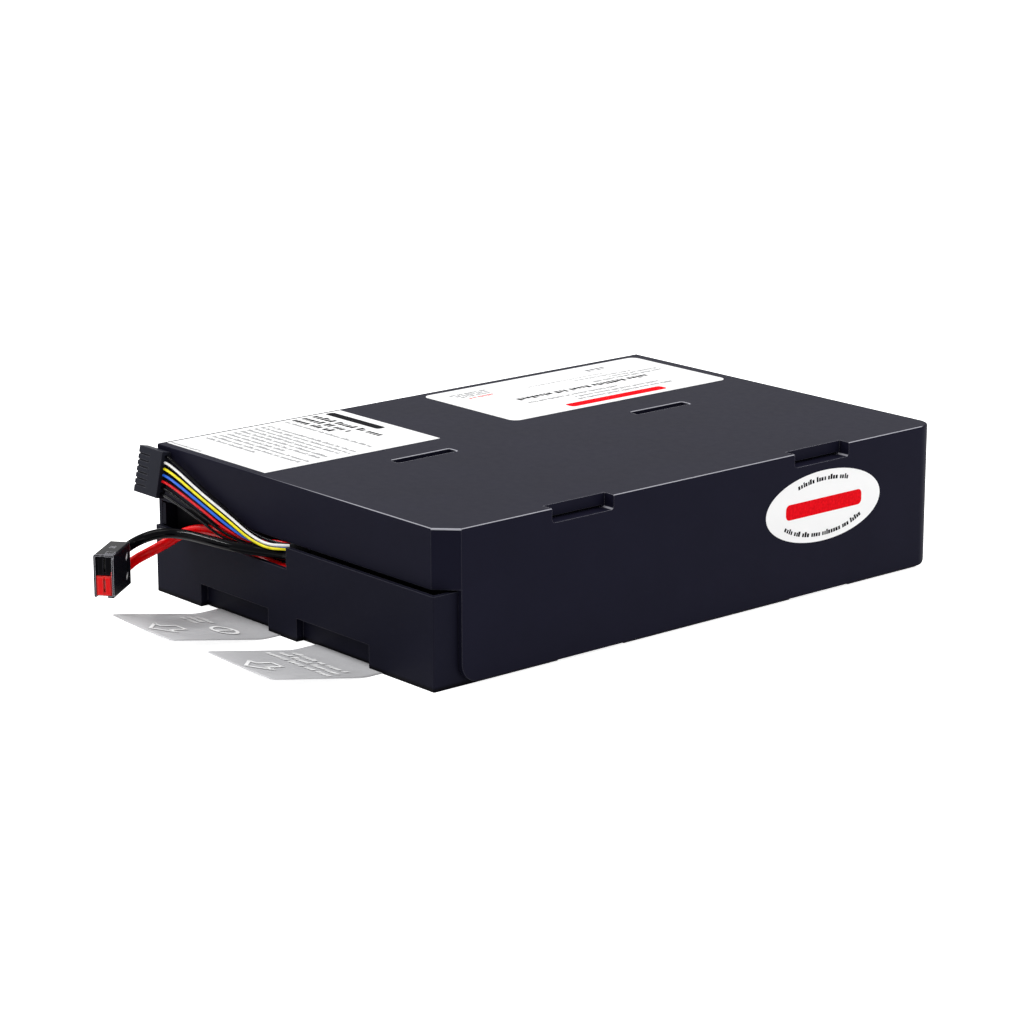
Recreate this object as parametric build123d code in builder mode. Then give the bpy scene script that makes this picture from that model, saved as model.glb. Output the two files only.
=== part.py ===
from build123d import *
import math
import os

os.makedirs("parts", exist_ok=True)

# Frame, in millimetres. The wire side faces -Y and the long side with the two
# latch pockets faces +X. The tray's underside is z = 0, and the outer face of
# the cover's short front wall is y = 0.

# Walls and clearances of the moulded case
cover_wall = 2.4
tray_wall = 2.2
tray_floor = 2.2
case_fit = 0.4
part_fit = 0.3

# Cover
skirt_lift = 1.5
front_wall_height = 27.6
front_chamfer = 9.4
rear_corner_radius = 10.0
skirt_corner_radius = 9.5
cover_edge_radius = 0.9
latch_length = 36.8
latch_depth = 6.3
latch_drop = 6.7
latch_corner_radius = 1.8
latch_liner = 1.6
latch_gap_height = 1.2
latch_inset = 79.9
slot_length = 35.5
slot_width = 5.8
slot_x = -4.4
slot_corner_radius = 1.0

# Tray
tray_front_y = -4.2
tray_wall_height = 43.2
outlet_wall_height = 33.0
outlet_end_x = -0.9
tray_edge_radius = 0.5
grip_length = 53.5
grip_height = 11.2
grip_depth = 4.0
grip_centres = (-42.25, 32.9)
rail_notch_length = 40.0
rail_notch_depth = 2.6
rail_notch_height = 6.0
rail_notch_front_inset = 87.5
rail_notch_rear_inset = 77.0
rib_width = 2.0
rib_depth = 2.8
rib_height = 40.0
rib_count = 4

# Sealed lead-acid batteries, lying on their long sides
battery_length = 151.0
battery_height = 94.0
battery_thickness = 65.0
battery_gap = 0.4
wiring_space = 4.2
battery_edge_radius = 1.5
lid_depth = 13.0
lid_groove = 0.5
vent_strip_length = 88.0
vent_strip_width = 22.0
vent_strip_radius = 2.0
vent_groove = 0.4
row_offset = 5.9
tab_inset = 13.0
tab_edge_inset = 13.2
tab_width = 6.35
tab_thickness = 0.8
tab_length = 6.0
receptacle_length = 7.7
receptacle_width = 9.0
receptacle_thickness = 5.0
tab_fit = 0.1
jumper_diameter = 4.0

# Foam strips between the batteries and the cover
foam_width = 20.0
foam_length = 110.0
foam_thickness = 2.4

# Pull tabs of film
film_thickness = 0.3
film_width = 53.6
film_offsets = (-33.3, 42.2)
film_channel_side = 0.3
film_channel_depth = 0.45
film_glued_length = 70.0
film_flat_front = 9.3
film_rise_length = 50.0
film_rise_angle = 10.4

# Labels
label_thickness = 0.15
front_label_size = (78.6, 104.3)
front_label_left = 2.8
front_label_front = 3.7
rear_label_size = (72.0, 146.0)
rear_label_left = 5.7
rear_label_back = 7.5
rear_label_radius = 4.5
oval_label_size = (77.6, 34.6)
oval_label_back_inset = 78.1
oval_label_drop = 28.1

# Two-pole power connector
power_cable_diameter = 5.0
shell_width = 9.9
shell_height = 20.5
shell_length = 24.0
shell_wall = 0.9
shell_turn = 38.0
shell_nose = (-63.61, -61.77, 16.5)
shell_window_length = 3.6
shell_window_width = 1.5
shell_window_inset = 5.2
shell_window_turn = 55
side_plate_lip = 0.8
side_plate_inset = 1.4
latch_block_size = (4.0, 3.8, 0.5)
latch_block_corner = (0.5, 0.9)
latch_notch_size = (1.8, 1.8, 1.1)
latch_notch_left = -1.4
mark_bar_size = (3.2, 0.7)
mark_depth = 0.3
mark_inset = 14.0
foot_cut_size = (5.6, 3.0)
housing_fit = 0.05
housing_front_red = 0.7
housing_front_black = 1.7
ridge_width = 2.5
ridge_depth = 0.7
ridge_spread = 1.85
ridge_end_gap = 0.5
key_width = 0.8
key_rise = 2.0
mouth_width = 1.0
mouth_height = 6.2
mouth_depth = 13.0
contact_width = 0.8
contact_height = 5.4
contact_recess = 3.0
lead_bend = 5.25
lead_entry = 8.8

# Seven-way sense connector
sense_wire_diameter = 1.3
sense_ways = 7
sense_pitch = 3.0
sense_length = 18.7
sense_thickness = 5.0
sense_margin = 2.25
sense_lean = 11.5
sense_right_x = -96.5
sense_top_z = 69.6
sense_groove_length = 9.5
sense_groove_width = 0.8
sense_groove_depth = 0.7
sense_mouth_size = 1.7
sense_mouth_depth = 7.0
sense_contact_length = 5.0

# Sense harness inside the case
sleeve_width = 7.0
sleeve_height = 3.7
sleeve_turn = 35.0
sleeve_mouth_z = 42.4
sleeve_mouth = (-3.34, 1.21)
sleeve_riser_y = 7.4
sleeve_riser_depth = 3.8
sleeve_top_z = 63.0
sleeve_overrun = 4.4
sleeve_slack = 0.5
last_branch_shift = 3.6
thermistor_length = 10.0
thermistor_size = 3.4

# Places that follow from the sizes above
row_far_x = row_offset + battery_height
tray_inside_x = row_far_x + part_fit + rib_depth
tray_half_width = tray_inside_x + tray_wall
cover_inside_x = tray_half_width + case_fit
half_width = cover_inside_x + cover_wall
case_width = 2 * half_width
battery_starts = (wiring_space, wiring_space + battery_length + battery_gap)
tray_inside_back = battery_starts[1] + battery_length + battery_gap
tray_back_y = tray_inside_back + tray_wall
case_length = tray_back_y + case_fit + cover_wall
battery_top = tray_floor + battery_thickness
cover_underside = battery_top + foam_thickness
case_height = cover_underside + cover_wall
tray_corner_radius = rear_corner_radius - cover_wall - case_fit
front_wall_bottom = case_height - front_wall_height
latch_centres = (latch_inset, case_length - latch_inset)
rail_notch_centres = (rail_notch_front_inset, case_length - rail_notch_rear_inset)
oval_label_centre = (case_length - oval_label_back_inset, case_height - oval_label_drop)
right_tab_z = battery_top - tab_edge_inset
left_tab_z = tray_floor + tab_edge_inset
receptacle_x = row_offset - part_fit - receptacle_length / 2
sleeve_bottom_z = sleeve_top_z - sleeve_height


def cut_corner(profile_plane, corner, sign_y, radius, span):
    """Cut the space outside a quarter round from the solid in progress."""
    with BuildSketch(profile_plane) as outside:
        with Locations(corner):
            Rectangle(2 * radius, 2 * radius)
        with Locations((corner[0] + sign_y * radius, corner[1] + radius)):
            Circle(radius, mode=Mode.SUBTRACT)
            Rectangle(
                2 * radius, radius, align=(Align.CENTER, Align.MIN), mode=Mode.SUBTRACT
            )
            side = Align.MIN if sign_y > 0 else Align.MAX
            Rectangle(radius, 2 * radius, align=(side, Align.CENTER), mode=Mode.SUBTRACT)
    extrude(outside.sketch, amount=span, both=True, mode=Mode.SUBTRACT)


def write(piece, name):
    """Label a finished piece and write its file."""
    piece.part.label = name
    export_step(piece.part, f"parts/{name}.step")


def cover_outline(inset):
    """Plan of the cover: a chamfer at the front right, a round at the rear right."""
    side = half_width - inset
    front = inset
    back = case_length - inset
    chamfer_length = front_chamfer - inset * (2 - math.sqrt(2))
    with BuildSketch() as plan:
        with BuildLine():
            Polyline(
                (-side, front),
                (side - chamfer_length, front),
                (side, front + chamfer_length),
                (side, back),
                (-side, back),
                close=True,
            )
        make_face()
        rear_right = plan.vertices().sort_by(Axis.Y)[-2:].sort_by(Axis.X)[-1]
        fillet(rear_right, rear_corner_radius - inset)
    return plan.sketch


# Upper cover: top plate, short front wall and skirts outside the tray
with BuildPart() as upper_cover:
    with BuildSketch(Plane.XY.offset(skirt_lift)):
        add(cover_outline(0))
    extrude(amount=case_height - skirt_lift)
    fillet(upper_cover.faces().sort_by(Axis.Z)[-1].edges(), cover_edge_radius)
    with BuildSketch(Plane.XY.offset(skirt_lift)):
        add(cover_outline(cover_wall))
    extrude(amount=cover_underside - skirt_lift, mode=Mode.SUBTRACT)

    # Opening under the short front wall
    with BuildSketch(Plane.XY.offset(skirt_lift)):
        with Locations((-cover_inside_x, 0)):
            Rectangle(
                case_width, 2 * front_chamfer, align=(Align.MIN, Align.CENTER)
            )
        Rectangle(2 * cover_inside_x, 2 * (front_chamfer + cover_wall))
    extrude(amount=front_wall_bottom - skirt_lift, mode=Mode.SUBTRACT)

    # Rounded lower corners of the skirts
    cut_corner(Plane.YZ.offset(half_width), (front_chamfer, skirt_lift), 1,
               skirt_corner_radius, cover_wall + case_fit)
    cut_corner(Plane.YZ.offset(-half_width), (0, skirt_lift), 1,
               skirt_corner_radius, cover_wall + case_fit)
    cut_corner(Plane.YZ, (case_length, skirt_lift), -1,
               skirt_corner_radius, half_width)

    # Two latch pockets in the right top edge, each with a liner of its own
    latch_back_x = half_width - latch_depth
    latch_floor_z = case_height - latch_drop
    for latch_y in latch_centres:
        with BuildSketch(Plane.XY.offset(latch_floor_z - latch_liner)):
            with Locations((cover_inside_x + part_fit, latch_y)):
                Rectangle(
                    latch_depth - cover_wall + latch_liner + part_fit,
                    latch_length + 2 * latch_liner,
                    align=(Align.MAX, Align.CENTER),
                )
        extrude(amount=latch_drop + latch_liner - cover_wall / 2)
    for latch_y in latch_centres:
        with BuildSketch(Plane.YZ.offset(latch_back_x)) as pocket:
            with Locations((latch_y, latch_floor_z)):
                Rectangle(
                    latch_length, 2 * latch_drop, align=(Align.CENTER, Align.MIN)
                )
            fillet(pocket.vertices().group_by(Axis.Y)[0], latch_corner_radius)
        extrude(amount=2 * latch_depth, mode=Mode.SUBTRACT)
        with BuildSketch(Plane.YZ.offset(latch_back_x + part_fit)):
            with Locations((latch_y, latch_floor_z)):
                Rectangle(
                    latch_length - 2 * latch_corner_radius,
                    latch_gap_height,
                    align=(Align.CENTER, Align.MIN),
                )
        extrude(amount=-2 * latch_liner, mode=Mode.SUBTRACT)

    # Two long slots through the top plate, in line with the pockets
    with BuildSketch(Plane.XY.offset(case_height)):
        with Locations(*[(slot_x, latch_y) for latch_y in latch_centres]):
            RectangleRounded(slot_width, slot_length, slot_corner_radius)
    extrude(amount=-2 * cover_wall, mode=Mode.SUBTRACT)
write(upper_cover, "upper_cover")

# Lower tray: floor, walls, lowered wall at the cable outlet, grips and notches
with BuildPart() as lower_tray:
    tray_length = tray_back_y - tray_front_y
    with BuildSketch() as tray_plan:
        with Locations((0, tray_front_y)):
            Rectangle(
                2 * tray_half_width, tray_length, align=(Align.CENTER, Align.MIN)
            )
        tray_corners = tray_plan.vertices().sort_by(Axis.X).sort_by(Axis.Y)
        fillet(tray_corners[-1], tray_corner_radius)
        fillet(tray_plan.vertices().group_by(Axis.Y)[0], tray_edge_radius)
    extrude(amount=tray_wall_height)
    with BuildSketch(Plane.XY.offset(tray_floor)):
        offset(tray_plan.sketch, amount=-tray_wall)
    extrude(amount=tray_wall_height, mode=Mode.SUBTRACT)

    # Front wall lowered from the left corner to the end of the cable outlet
    with BuildSketch(Plane.XY.offset(outlet_wall_height)):
        with Locations((outlet_end_x, tray_front_y + tray_wall)):
            Rectangle(case_width, 2 * tray_wall, align=(Align.MAX, Align.CENTER))
    extrude(amount=tray_wall_height, mode=Mode.SUBTRACT)

    # Grip recesses in the foot of the front wall, lined on the inside
    for grip_x in grip_centres:
        with BuildSketch(Plane.XY.offset(0)):
            with Locations((grip_x, tray_front_y + tray_wall / 2)):
                Rectangle(
                    grip_length + 2 * tray_wall,
                    grip_depth + tray_wall / 2,
                    align=(Align.CENTER, Align.MIN),
                )
        extrude(amount=grip_height + tray_wall)
    for grip_x in grip_centres:
        with BuildSketch():
            with Locations((grip_x, tray_front_y)):
                Rectangle(
                    grip_length, 2 * grip_depth, align=(Align.CENTER, Align.CENTER)
                )
        extrude(amount=grip_height, mode=Mode.SUBTRACT)

    # Notches for a guide rail in the foot of the right wall, lined inside
    for notch_y in rail_notch_centres:
        with BuildSketch():
            with Locations((tray_half_width - tray_wall / 2, notch_y)):
                Rectangle(
                    rail_notch_depth + tray_wall / 2,
                    rail_notch_length + 2 * tray_wall,
                    align=(Align.MAX, Align.CENTER),
                )
        extrude(amount=rail_notch_height + tray_wall)
    for notch_y in rail_notch_centres:
        with BuildSketch():
            with Locations((tray_half_width, notch_y)):
                Rectangle(2 * rail_notch_depth, rail_notch_length)
        extrude(amount=rail_notch_height, mode=Mode.SUBTRACT)

    # Channels under the floor for the glued ends of the pull tabs
    channel_length = film_glued_length - tray_front_y + part_fit
    for film_x in film_offsets:
        with BuildSketch():
            with Locations((film_x, tray_front_y)):
                Rectangle(
                    film_width + 2 * film_channel_side,
                    channel_length,
                    align=(Align.CENTER, Align.MIN),
                )
        extrude(amount=film_channel_depth, mode=Mode.SUBTRACT)

    # Ribs that hold the batteries away from the side walls
    rib_pitch = battery_length / 2
    rib_start = battery_starts[0] + rib_pitch / 2
    for side in (-1, 1):
        for index in range(rib_count):
            with BuildSketch(Plane.XY.offset(tray_floor)):
                with Locations((side * tray_inside_x, rib_start + index * rib_pitch)):
                    Rectangle(
                        rib_depth,
                        rib_width,
                        align=(Align.MAX if side > 0 else Align.MIN, Align.CENTER),
                    )
            extrude(amount=rib_height - tray_floor)
write(lower_tray, "lower_tray")

# Four sealed batteries: right front, right rear, left rear, left front
battery_places = (
    (1, battery_starts[0]),
    (1, battery_starts[1]),
    (-1, battery_starts[1]),
    (-1, battery_starts[0]),
)
tab_ends = []
for number, (side, start_y) in enumerate(battery_places, start=1):
    with BuildPart() as battery:
        middle_x = side * (row_offset + battery_height / 2)
        middle_y = start_y + battery_length / 2
        with BuildSketch(Plane.XY.offset(tray_floor)) as section:
            with Locations((middle_x, middle_y)):
                Rectangle(battery_height, battery_length)
            fillet(section.vertices(), battery_edge_radius)
        extrude(amount=battery_thickness)
        # Joint line between the box and its lid
        seam_x = side * (row_offset + lid_depth)
        with BuildSketch(Plane.YZ.offset(seam_x)):
            with Locations((middle_y, tray_floor + battery_thickness / 2)):
                Rectangle(battery_length, battery_thickness)
                Rectangle(
                    battery_length - 2 * lid_groove,
                    battery_thickness - 2 * lid_groove,
                    mode=Mode.SUBTRACT,
                )
        extrude(amount=lid_groove, both=True, mode=Mode.SUBTRACT)
        # Outline of the strip that covers the vents
        with BuildSketch(Plane.YZ.offset(side * row_offset)):
            with Locations((middle_y, tray_floor + battery_thickness / 2)):
                RectangleRounded(vent_strip_length, vent_strip_width, vent_strip_radius)
                RectangleRounded(
                    vent_strip_length - 2 * lid_groove,
                    vent_strip_width - 2 * lid_groove,
                    vent_strip_radius - lid_groove,
                    mode=Mode.SUBTRACT,
                )
        extrude(amount=side * vent_groove, mode=Mode.SUBTRACT)
    write(battery, f"battery_{number}")
    tab_z = right_tab_z if side > 0 else left_tab_z
    for end_y in (start_y + tab_inset, start_y + battery_length - tab_inset):
        tab_ends.append((number, side, end_y, tab_z))

# Blade terminals and the insulated receptacles pushed over them
end_names = ("front", "rear")
for index, (number, side, tab_y, tab_z) in enumerate(tab_ends):
    end_name = end_names[index % 2]
    with BuildPart() as tab:
        with BuildSketch(Plane.XY.offset(tab_z - tab_thickness / 2)) as blade:
            with Locations((side * row_offset, tab_y)):
                Rectangle(
                    tab_length,
                    tab_width,
                    align=(Align.MAX if side > 0 else Align.MIN, Align.CENTER),
                )
            tip_corners = blade.vertices().group_by(Axis.X)[0 if side > 0 else -1]
            chamfer(tip_corners, tab_thickness)
        extrude(amount=tab_thickness)
    write(tab, f"terminal_{number}_{end_name}")
    with BuildPart() as receptacle:
        with BuildSketch(Plane.XY.offset(tab_z - receptacle_thickness / 2)) as body:
            with Locations((side * receptacle_x, tab_y)):
                Rectangle(receptacle_length, receptacle_width)
            fillet(body.vertices(), tab_thickness)
        extrude(amount=receptacle_thickness)
        with BuildSketch(Plane.XY.offset(tab_z - tab_thickness / 2 - tab_fit)):
            with Locations((side * row_offset, tab_y)):
                Rectangle(2 * (tab_length + tab_fit), tab_width + 2 * tab_fit)
        extrude(amount=tab_thickness + 2 * tab_fit, mode=Mode.SUBTRACT)
    write(receptacle, f"receptacle_{number}_{end_name}")

tab_rows = (
    battery_starts[0] + tab_inset,
    battery_starts[0] + battery_length - tab_inset,
    battery_starts[1] + tab_inset,
    battery_starts[1] + battery_length - tab_inset,
)
receptacle_half = receptacle_thickness / 2


def held_wire(points, diameter, bend):
    """A round wire along straight runs joined by equal bends."""
    with BuildPart() as wire:
        with BuildLine() as route:
            if len(points) > 2:
                FilletPolyline(*points, radius=bend)
            else:
                Line(*points)
        start = route.line % 0
        with BuildSketch(Plane(origin=route.line @ 0, z_dir=start)):
            Circle(diameter / 2)
        sweep()
    return wire


# Series jumpers between the batteries
jumper_gap_start = tab_rows[1] + receptacle_width / 2
jumper_gap_end = tab_rows[2] - receptacle_width / 2
jumper_right = held_wire(
    (
        (receptacle_x, jumper_gap_start, right_tab_z),
        (receptacle_x, jumper_gap_end, right_tab_z),
    ),
    jumper_diameter,
    0,
)
write(jumper_right, "series_jumper_right")
jumper_left = held_wire(
    (
        (-receptacle_x, jumper_gap_start, left_tab_z),
        (-receptacle_x, jumper_gap_end, left_tab_z),
    ),
    jumper_diameter,
    0,
)
write(jumper_left, "series_jumper_left")
jumper_top = right_tab_z - receptacle_half
jumper_foot = left_tab_z + receptacle_half
jumper_third = (jumper_top - jumper_foot) / 3
jumper_rear = held_wire(
    (
        (receptacle_x, tab_rows[3], jumper_top),
        (receptacle_x, tab_rows[3], jumper_top - jumper_third),
        (-receptacle_x, tab_rows[3], jumper_foot + jumper_third),
        (-receptacle_x, tab_rows[3], jumper_foot),
    ),
    jumper_diameter,
    2 * jumper_diameter,
)
write(jumper_rear, "series_jumper_rear")

# Routes of the two power cables outside the case, from connector to outlet
black_cable_route = [
    (-78.39, -42.86, 31.4),
    (-83.32, -36.55, 31.4),
    (-85.0, -28.7, 33.4),
    (-82.6, -21.0, 35.6),
    (-77.2, -15.2, 36.6),
    (-69.0, -12.3, 36.8),
    (-54.3, -11.4, 37.3),
    (-38.5, -9.8, 37.4),
    (-25.5, -5.8, 37.3),
    (-16.5, -1.0, 37.2),
    (-8.0, 1.1, 37.3),
]
red_cable_route = [
    (-78.39, -42.86, 22.1),
    (-83.32, -36.55, 22.1),
    (-86.6, -29.3, 23.8),
    (-86.3, -21.0, 26.2),
    (-83.6, -13.6, 29.6),
    (-78.2, -8.0, 34.6),
    (-69.0, -5.0, 38.2),
    (-56.5, -3.6, 39.6),
    (-46.0, -2.2, 38.9),
    (-38.4, 0.6, 36.6),
    (-30.5, 1.1, 32.2),
    (-22.0, 1.1, 30.6),
    (-8.0, 1.1, 30.5),
]

# Routes of the seven sense wires, from their connector to the outlet
sense_routes = {
    "sense_wire_black_1": [
        (-96.5, -3.2, 67.9), (-92.5, -3.2, 67.9), (-69.5, -2.3, 58.0),
        (-48.0, -2.1, 50.8), (-34.0, -2.0, 45.2), (-23.0, -2.0, 43.2),
        (-14.5, -1.8, 43.0), (-6.0, -1.69, 43.3), (-2.87, 0.5, 43.3),
    ],
    "sense_wire_white": [
        (-96.5, -3.8, 65.0), (-92.5, -3.8, 65.0), (-67.6, -4.3, 56.2),
        (-45.7, -4.2, 49.6), (-31.2, -4.0, 44.3), (-21.5, -3.9, 42.2),
        (-13.5, -3.7, 41.9), (-5.5, -3.41, 43.3), (-1.9, -0.89, 43.3),
    ],
    "sense_wire_yellow": [
        (-96.5, -4.4, 62.0), (-92.5, -4.4, 62.0), (-66.6, -5.0, 54.0),
        (-44.7, -5.0, 47.3), (-30.2, -4.7, 42.2), (-21.0, -4.3, 40.5),
        (-13.0, -3.7, 40.2), (-5.5, -3.41, 41.5), (-1.9, -0.89, 41.5),
    ],
    "sense_wire_blue": [
        (-96.5, -5.0, 59.1), (-92.5, -5.0, 59.1), (-65.8, -5.7, 51.7),
        (-43.9, -5.6, 44.9), (-32.0, -4.0, 41.0), (-23.5, -2.2, 40.6),
        (-15.0, -1.9, 41.1), (-6.0, -1.69, 41.5), (-2.87, 0.5, 41.5),
    ],
    "sense_wire_red": [
        (-96.5, -5.6, 56.1), (-92.5, -5.6, 56.1), (-65.1, -6.4, 49.5),
        (-45.0, -6.4, 43.3), (-33.8, -2.9, 39.8), (-25.0, -0.5, 40.6),
        (-16.0, -0.1, 42.7), (-6.6, -0.03, 43.3), (-3.85, 1.9, 43.3),
    ],
    "sense_wire_black_2": [
        (-96.5, -6.2, 53.2), (-92.5, -6.2, 53.2), (-64.1, -7.2, 46.9),
        (-46.5, -7.3, 41.9), (-36.5, -3.4, 38.5), (-26.0, -0.9, 38.0),
        (-16.5, 0.0, 40.9), (-6.6, -0.03, 41.5), (-3.85, 1.9, 41.5),
    ],
    "sense_wire_black_3": [
        (-96.5, -6.8, 50.3), (-92.5, -6.8, 50.3), (-62.9, -8.0, 44.4),
        (-48.5, -7.8, 39.9), (-39.5, -3.8, 37.1), (-29.0, 1.0, 38.2),
        (-17.5, 1.7, 42.3), (-7.11, 1.68, 43.3), (-4.82, 3.29, 43.3),
    ],
}


def free_cord(name, points, diameter):
    """A tube of straight runs and tangent arcs, each as large as its runs allow."""
    knots = [Vector(*point) for point in points]
    runs = [(end - start).length for start, end in zip(knots, knots[1:])]
    radii = []
    for index in range(1, len(knots) - 1):
        before = knots[index] - knots[index - 1]
        after = knots[index + 1] - knots[index]
        half_turn = math.radians(before.get_angle(after)) / 2
        shorter = min(runs[index - 1], runs[index])
        radii.append(0.45 * shorter / math.tan(half_turn))
    with BuildPart() as cord:
        with BuildLine() as route:
            FilletPolyline(*knots, radius=radii)
        with BuildSketch(Plane(origin=route.line @ 0, z_dir=route.line % 0)):
            Circle(diameter / 2)
        sweep()
    length = sum(edge.length for edge in route.edges())
    expected = math.pi * diameter**2 / 4 * length
    print(
        name, "length", round(length, 1),
        "least radius", round(min(radii), 1),
        "volume ratio", round(cord.part.volume / expected, 4),
    )
    return cord


for cord_name, cord_points in (
    ("power_cable_black", black_cable_route),
    ("power_cable_red", red_cable_route),
):
    write(free_cord(cord_name, cord_points, power_cable_diameter), cord_name)
for cord_name, cord_points in sense_routes.items():
    write(free_cord(cord_name, cord_points, sense_wire_diameter), cord_name)

# Power leads inside the case, from the outlet to the end terminals
black_start = black_cable_route[-1]
red_start = red_cable_route[-1]


def lead_entry_point(route):
    """End of the first run inside, in line with the cable's last run outside."""
    start = Vector(*route[-1])
    heading = (start - Vector(*route[-2])).normalized()
    return start + heading * lead_entry


lead_black_inner = held_wire(
    (
        black_start,
        lead_entry_point(black_cable_route),
        (receptacle_x, tab_rows[0], black_start[2]),
        (receptacle_x, tab_rows[0], right_tab_z - receptacle_half),
    ),
    power_cable_diameter,
    lead_bend,
)
write(lead_black_inner, "power_lead_black_inner")
lead_red_inner = held_wire(
    (
        red_start,
        lead_entry_point(red_cable_route),
        (-receptacle_x, tab_rows[0], red_start[2]),
        (-receptacle_x, tab_rows[0], left_tab_z + receptacle_half),
    ),
    power_cable_diameter,
    lead_bend,
)
write(lead_red_inner, "power_lead_red_inner")

# Taped sleeve of the sense wires, from the outlet up and along the aisle
sleeve_end_y = tab_rows[3] + sleeve_overrun
with BuildPart() as sense_sleeve:
    sleeve_low_z = sleeve_mouth_z - sleeve_height / 2
    turn = math.radians(sleeve_turn)
    across = Vector(-math.sin(turn), math.cos(turn)) * (sleeve_width / 2)
    mouth = Vector(*sleeve_mouth)
    with BuildSketch(Plane.XY.offset(sleeve_low_z)):
        with BuildLine():
            left_mouth = mouth + across
            right_mouth = mouth - across
            riser_back = sleeve_riser_y + sleeve_riser_depth / 2
            Polyline(
                (left_mouth.X, left_mouth.Y),
                (right_mouth.X, right_mouth.Y),
                (sleeve_width / 2, riser_back - sleeve_riser_depth),
                (sleeve_width / 2, riser_back),
                (-sleeve_width / 2, riser_back),
                (-sleeve_width / 2, left_mouth.Y + part_fit),
                close=True,
            )
        make_face()
    extrude(amount=sleeve_height)
    with BuildSketch(Plane.XY.offset(sleeve_low_z)):
        with Locations((0, sleeve_riser_y)):
            Rectangle(sleeve_width, sleeve_riser_depth)
    extrude(amount=sleeve_top_z - sleeve_low_z)
    with BuildSketch(Plane.XY.offset(sleeve_bottom_z)):
        with Locations((0, riser_back - sleeve_riser_depth)):
            Rectangle(
                sleeve_width + 2 * sleeve_slack,
                sleeve_end_y - riser_back + sleeve_riser_depth,
                align=(Align.CENTER, Align.MIN),
            )
    extrude(amount=sleeve_height)
write(sense_sleeve, "sense_wire_sleeve")

# Branches of the sense harness down to the terminals
right_receptacle_top = right_tab_z + receptacle_half
left_receptacle_top = left_tab_z + receptacle_half
branch_x = sleeve_width / 2 - part_fit
branch_feet = (
    (receptacle_x, tab_rows[0], right_receptacle_top),
    (receptacle_x, tab_rows[1], right_receptacle_top),
    (receptacle_x, tab_rows[3], right_receptacle_top),
    (-branch_x, tab_rows[2], left_receptacle_top),
    (-branch_x, tab_rows[0] + last_branch_shift, left_receptacle_top),
)
for number, (foot_x, foot_y, foot_z) in enumerate(branch_feet, start=1):
    with BuildPart() as branch:
        with BuildSketch(Plane.XY.offset(foot_z)):
            with Locations((foot_x, foot_y)):
                Circle(sense_wire_diameter / 2)
        extrude(amount=sleeve_bottom_z - foot_z)
    write(branch, f"sense_branch_{number}")

# Thermistor bead under the sleeve, against the lid of the right rear battery
with BuildPart() as thermistor:
    with BuildSketch(Plane.XY.offset(sleeve_bottom_z - thermistor_length)):
        with Locations((branch_x, tab_rows[2] + battery_length / 4)):
            RectangleRounded(thermistor_size, thermistor_size, tab_thickness)
    extrude(amount=thermistor_length)
write(thermistor, "thermistor")

# Foam strips on the batteries, under the top plate
for side, side_name in ((1, "right"), (-1, "left")):
    with BuildPart() as foam:
        foam_x = side * (row_offset + battery_height / 2)
        for start_y in battery_starts:
            with BuildSketch(Plane.XY.offset(battery_top)):
                with Locations((foam_x, start_y + battery_length / 2)):
                    Rectangle(foam_width, foam_length)
            extrude(amount=foam_thickness)
    write(foam, f"foam_strips_{side_name}")

# Labels on the top plate and on the right skirt
with BuildPart() as label_front:
    with BuildSketch(Plane.XY.offset(case_height)):
        with Locations((front_label_left - half_width, front_label_front)):
            Rectangle(*front_label_size, align=(Align.MIN, Align.MIN))
    extrude(amount=label_thickness)
write(label_front, "label_front")
with BuildPart() as label_rear:
    with BuildSketch(Plane.XY.offset(case_height)):
        with Locations((rear_label_left - half_width, case_length - rear_label_back)):
            RectangleRounded(
                *rear_label_size, rear_label_radius, align=(Align.MIN, Align.MAX)
            )
    extrude(amount=label_thickness)
write(label_rear, "label_rear")
with BuildPart() as label_side:
    with BuildSketch(Plane.YZ.offset(half_width)):
        with Locations(oval_label_centre):
            Ellipse(oval_label_size[0] / 2, oval_label_size[1] / 2)
    extrude(amount=label_thickness)
write(label_side, "label_side")

# Pull tabs: film glued under the tray, folded up where it leaves it
fold_y = tray_front_y - film_flat_front
rise = math.radians(film_rise_angle)
tip_y = fold_y - film_rise_length * math.cos(rise)
tip_z = film_rise_length * math.sin(rise)
for film_x, film_name in zip(film_offsets, ("pull_tab_left", "pull_tab_right")):
    with BuildPart() as film:
        with BuildSketch(Plane.YZ.offset(film_x - film_width / 2)):
            with BuildLine():
                Polyline(
                    (film_glued_length, 0),
                    (fold_y, 0),
                    (tip_y, tip_z),
                    (tip_y, tip_z + film_thickness),
                    (fold_y, film_thickness),
                    (film_glued_length, film_thickness),
                    close=True,
                )
            make_face()
        extrude(amount=film_width)
    write(film, film_name)

# Power connector: a shell, two pole housings stacked in it, and their contacts
turn_angle = math.radians(shell_turn)
shell_plane = Plane(
    origin=shell_nose,
    x_dir=(math.cos(turn_angle), math.sin(turn_angle), 0),
    z_dir=(0, 0, 1),
)
pole_height = shell_height / 2 - shell_wall
pole_width = shell_width - 2 * shell_wall - 2 * housing_fit
pole_centres = (
    shell_wall + pole_height / 2,
    shell_height - shell_wall - pole_height / 2,
)


def shell_section(distance):
    """Plane across the connector, a distance behind its mating end."""
    return Plane(
        origin=shell_plane.from_local_coords(Vector(0, distance, 0)),
        x_dir=shell_plane.x_dir,
        z_dir=shell_plane.y_dir,
    )


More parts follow.
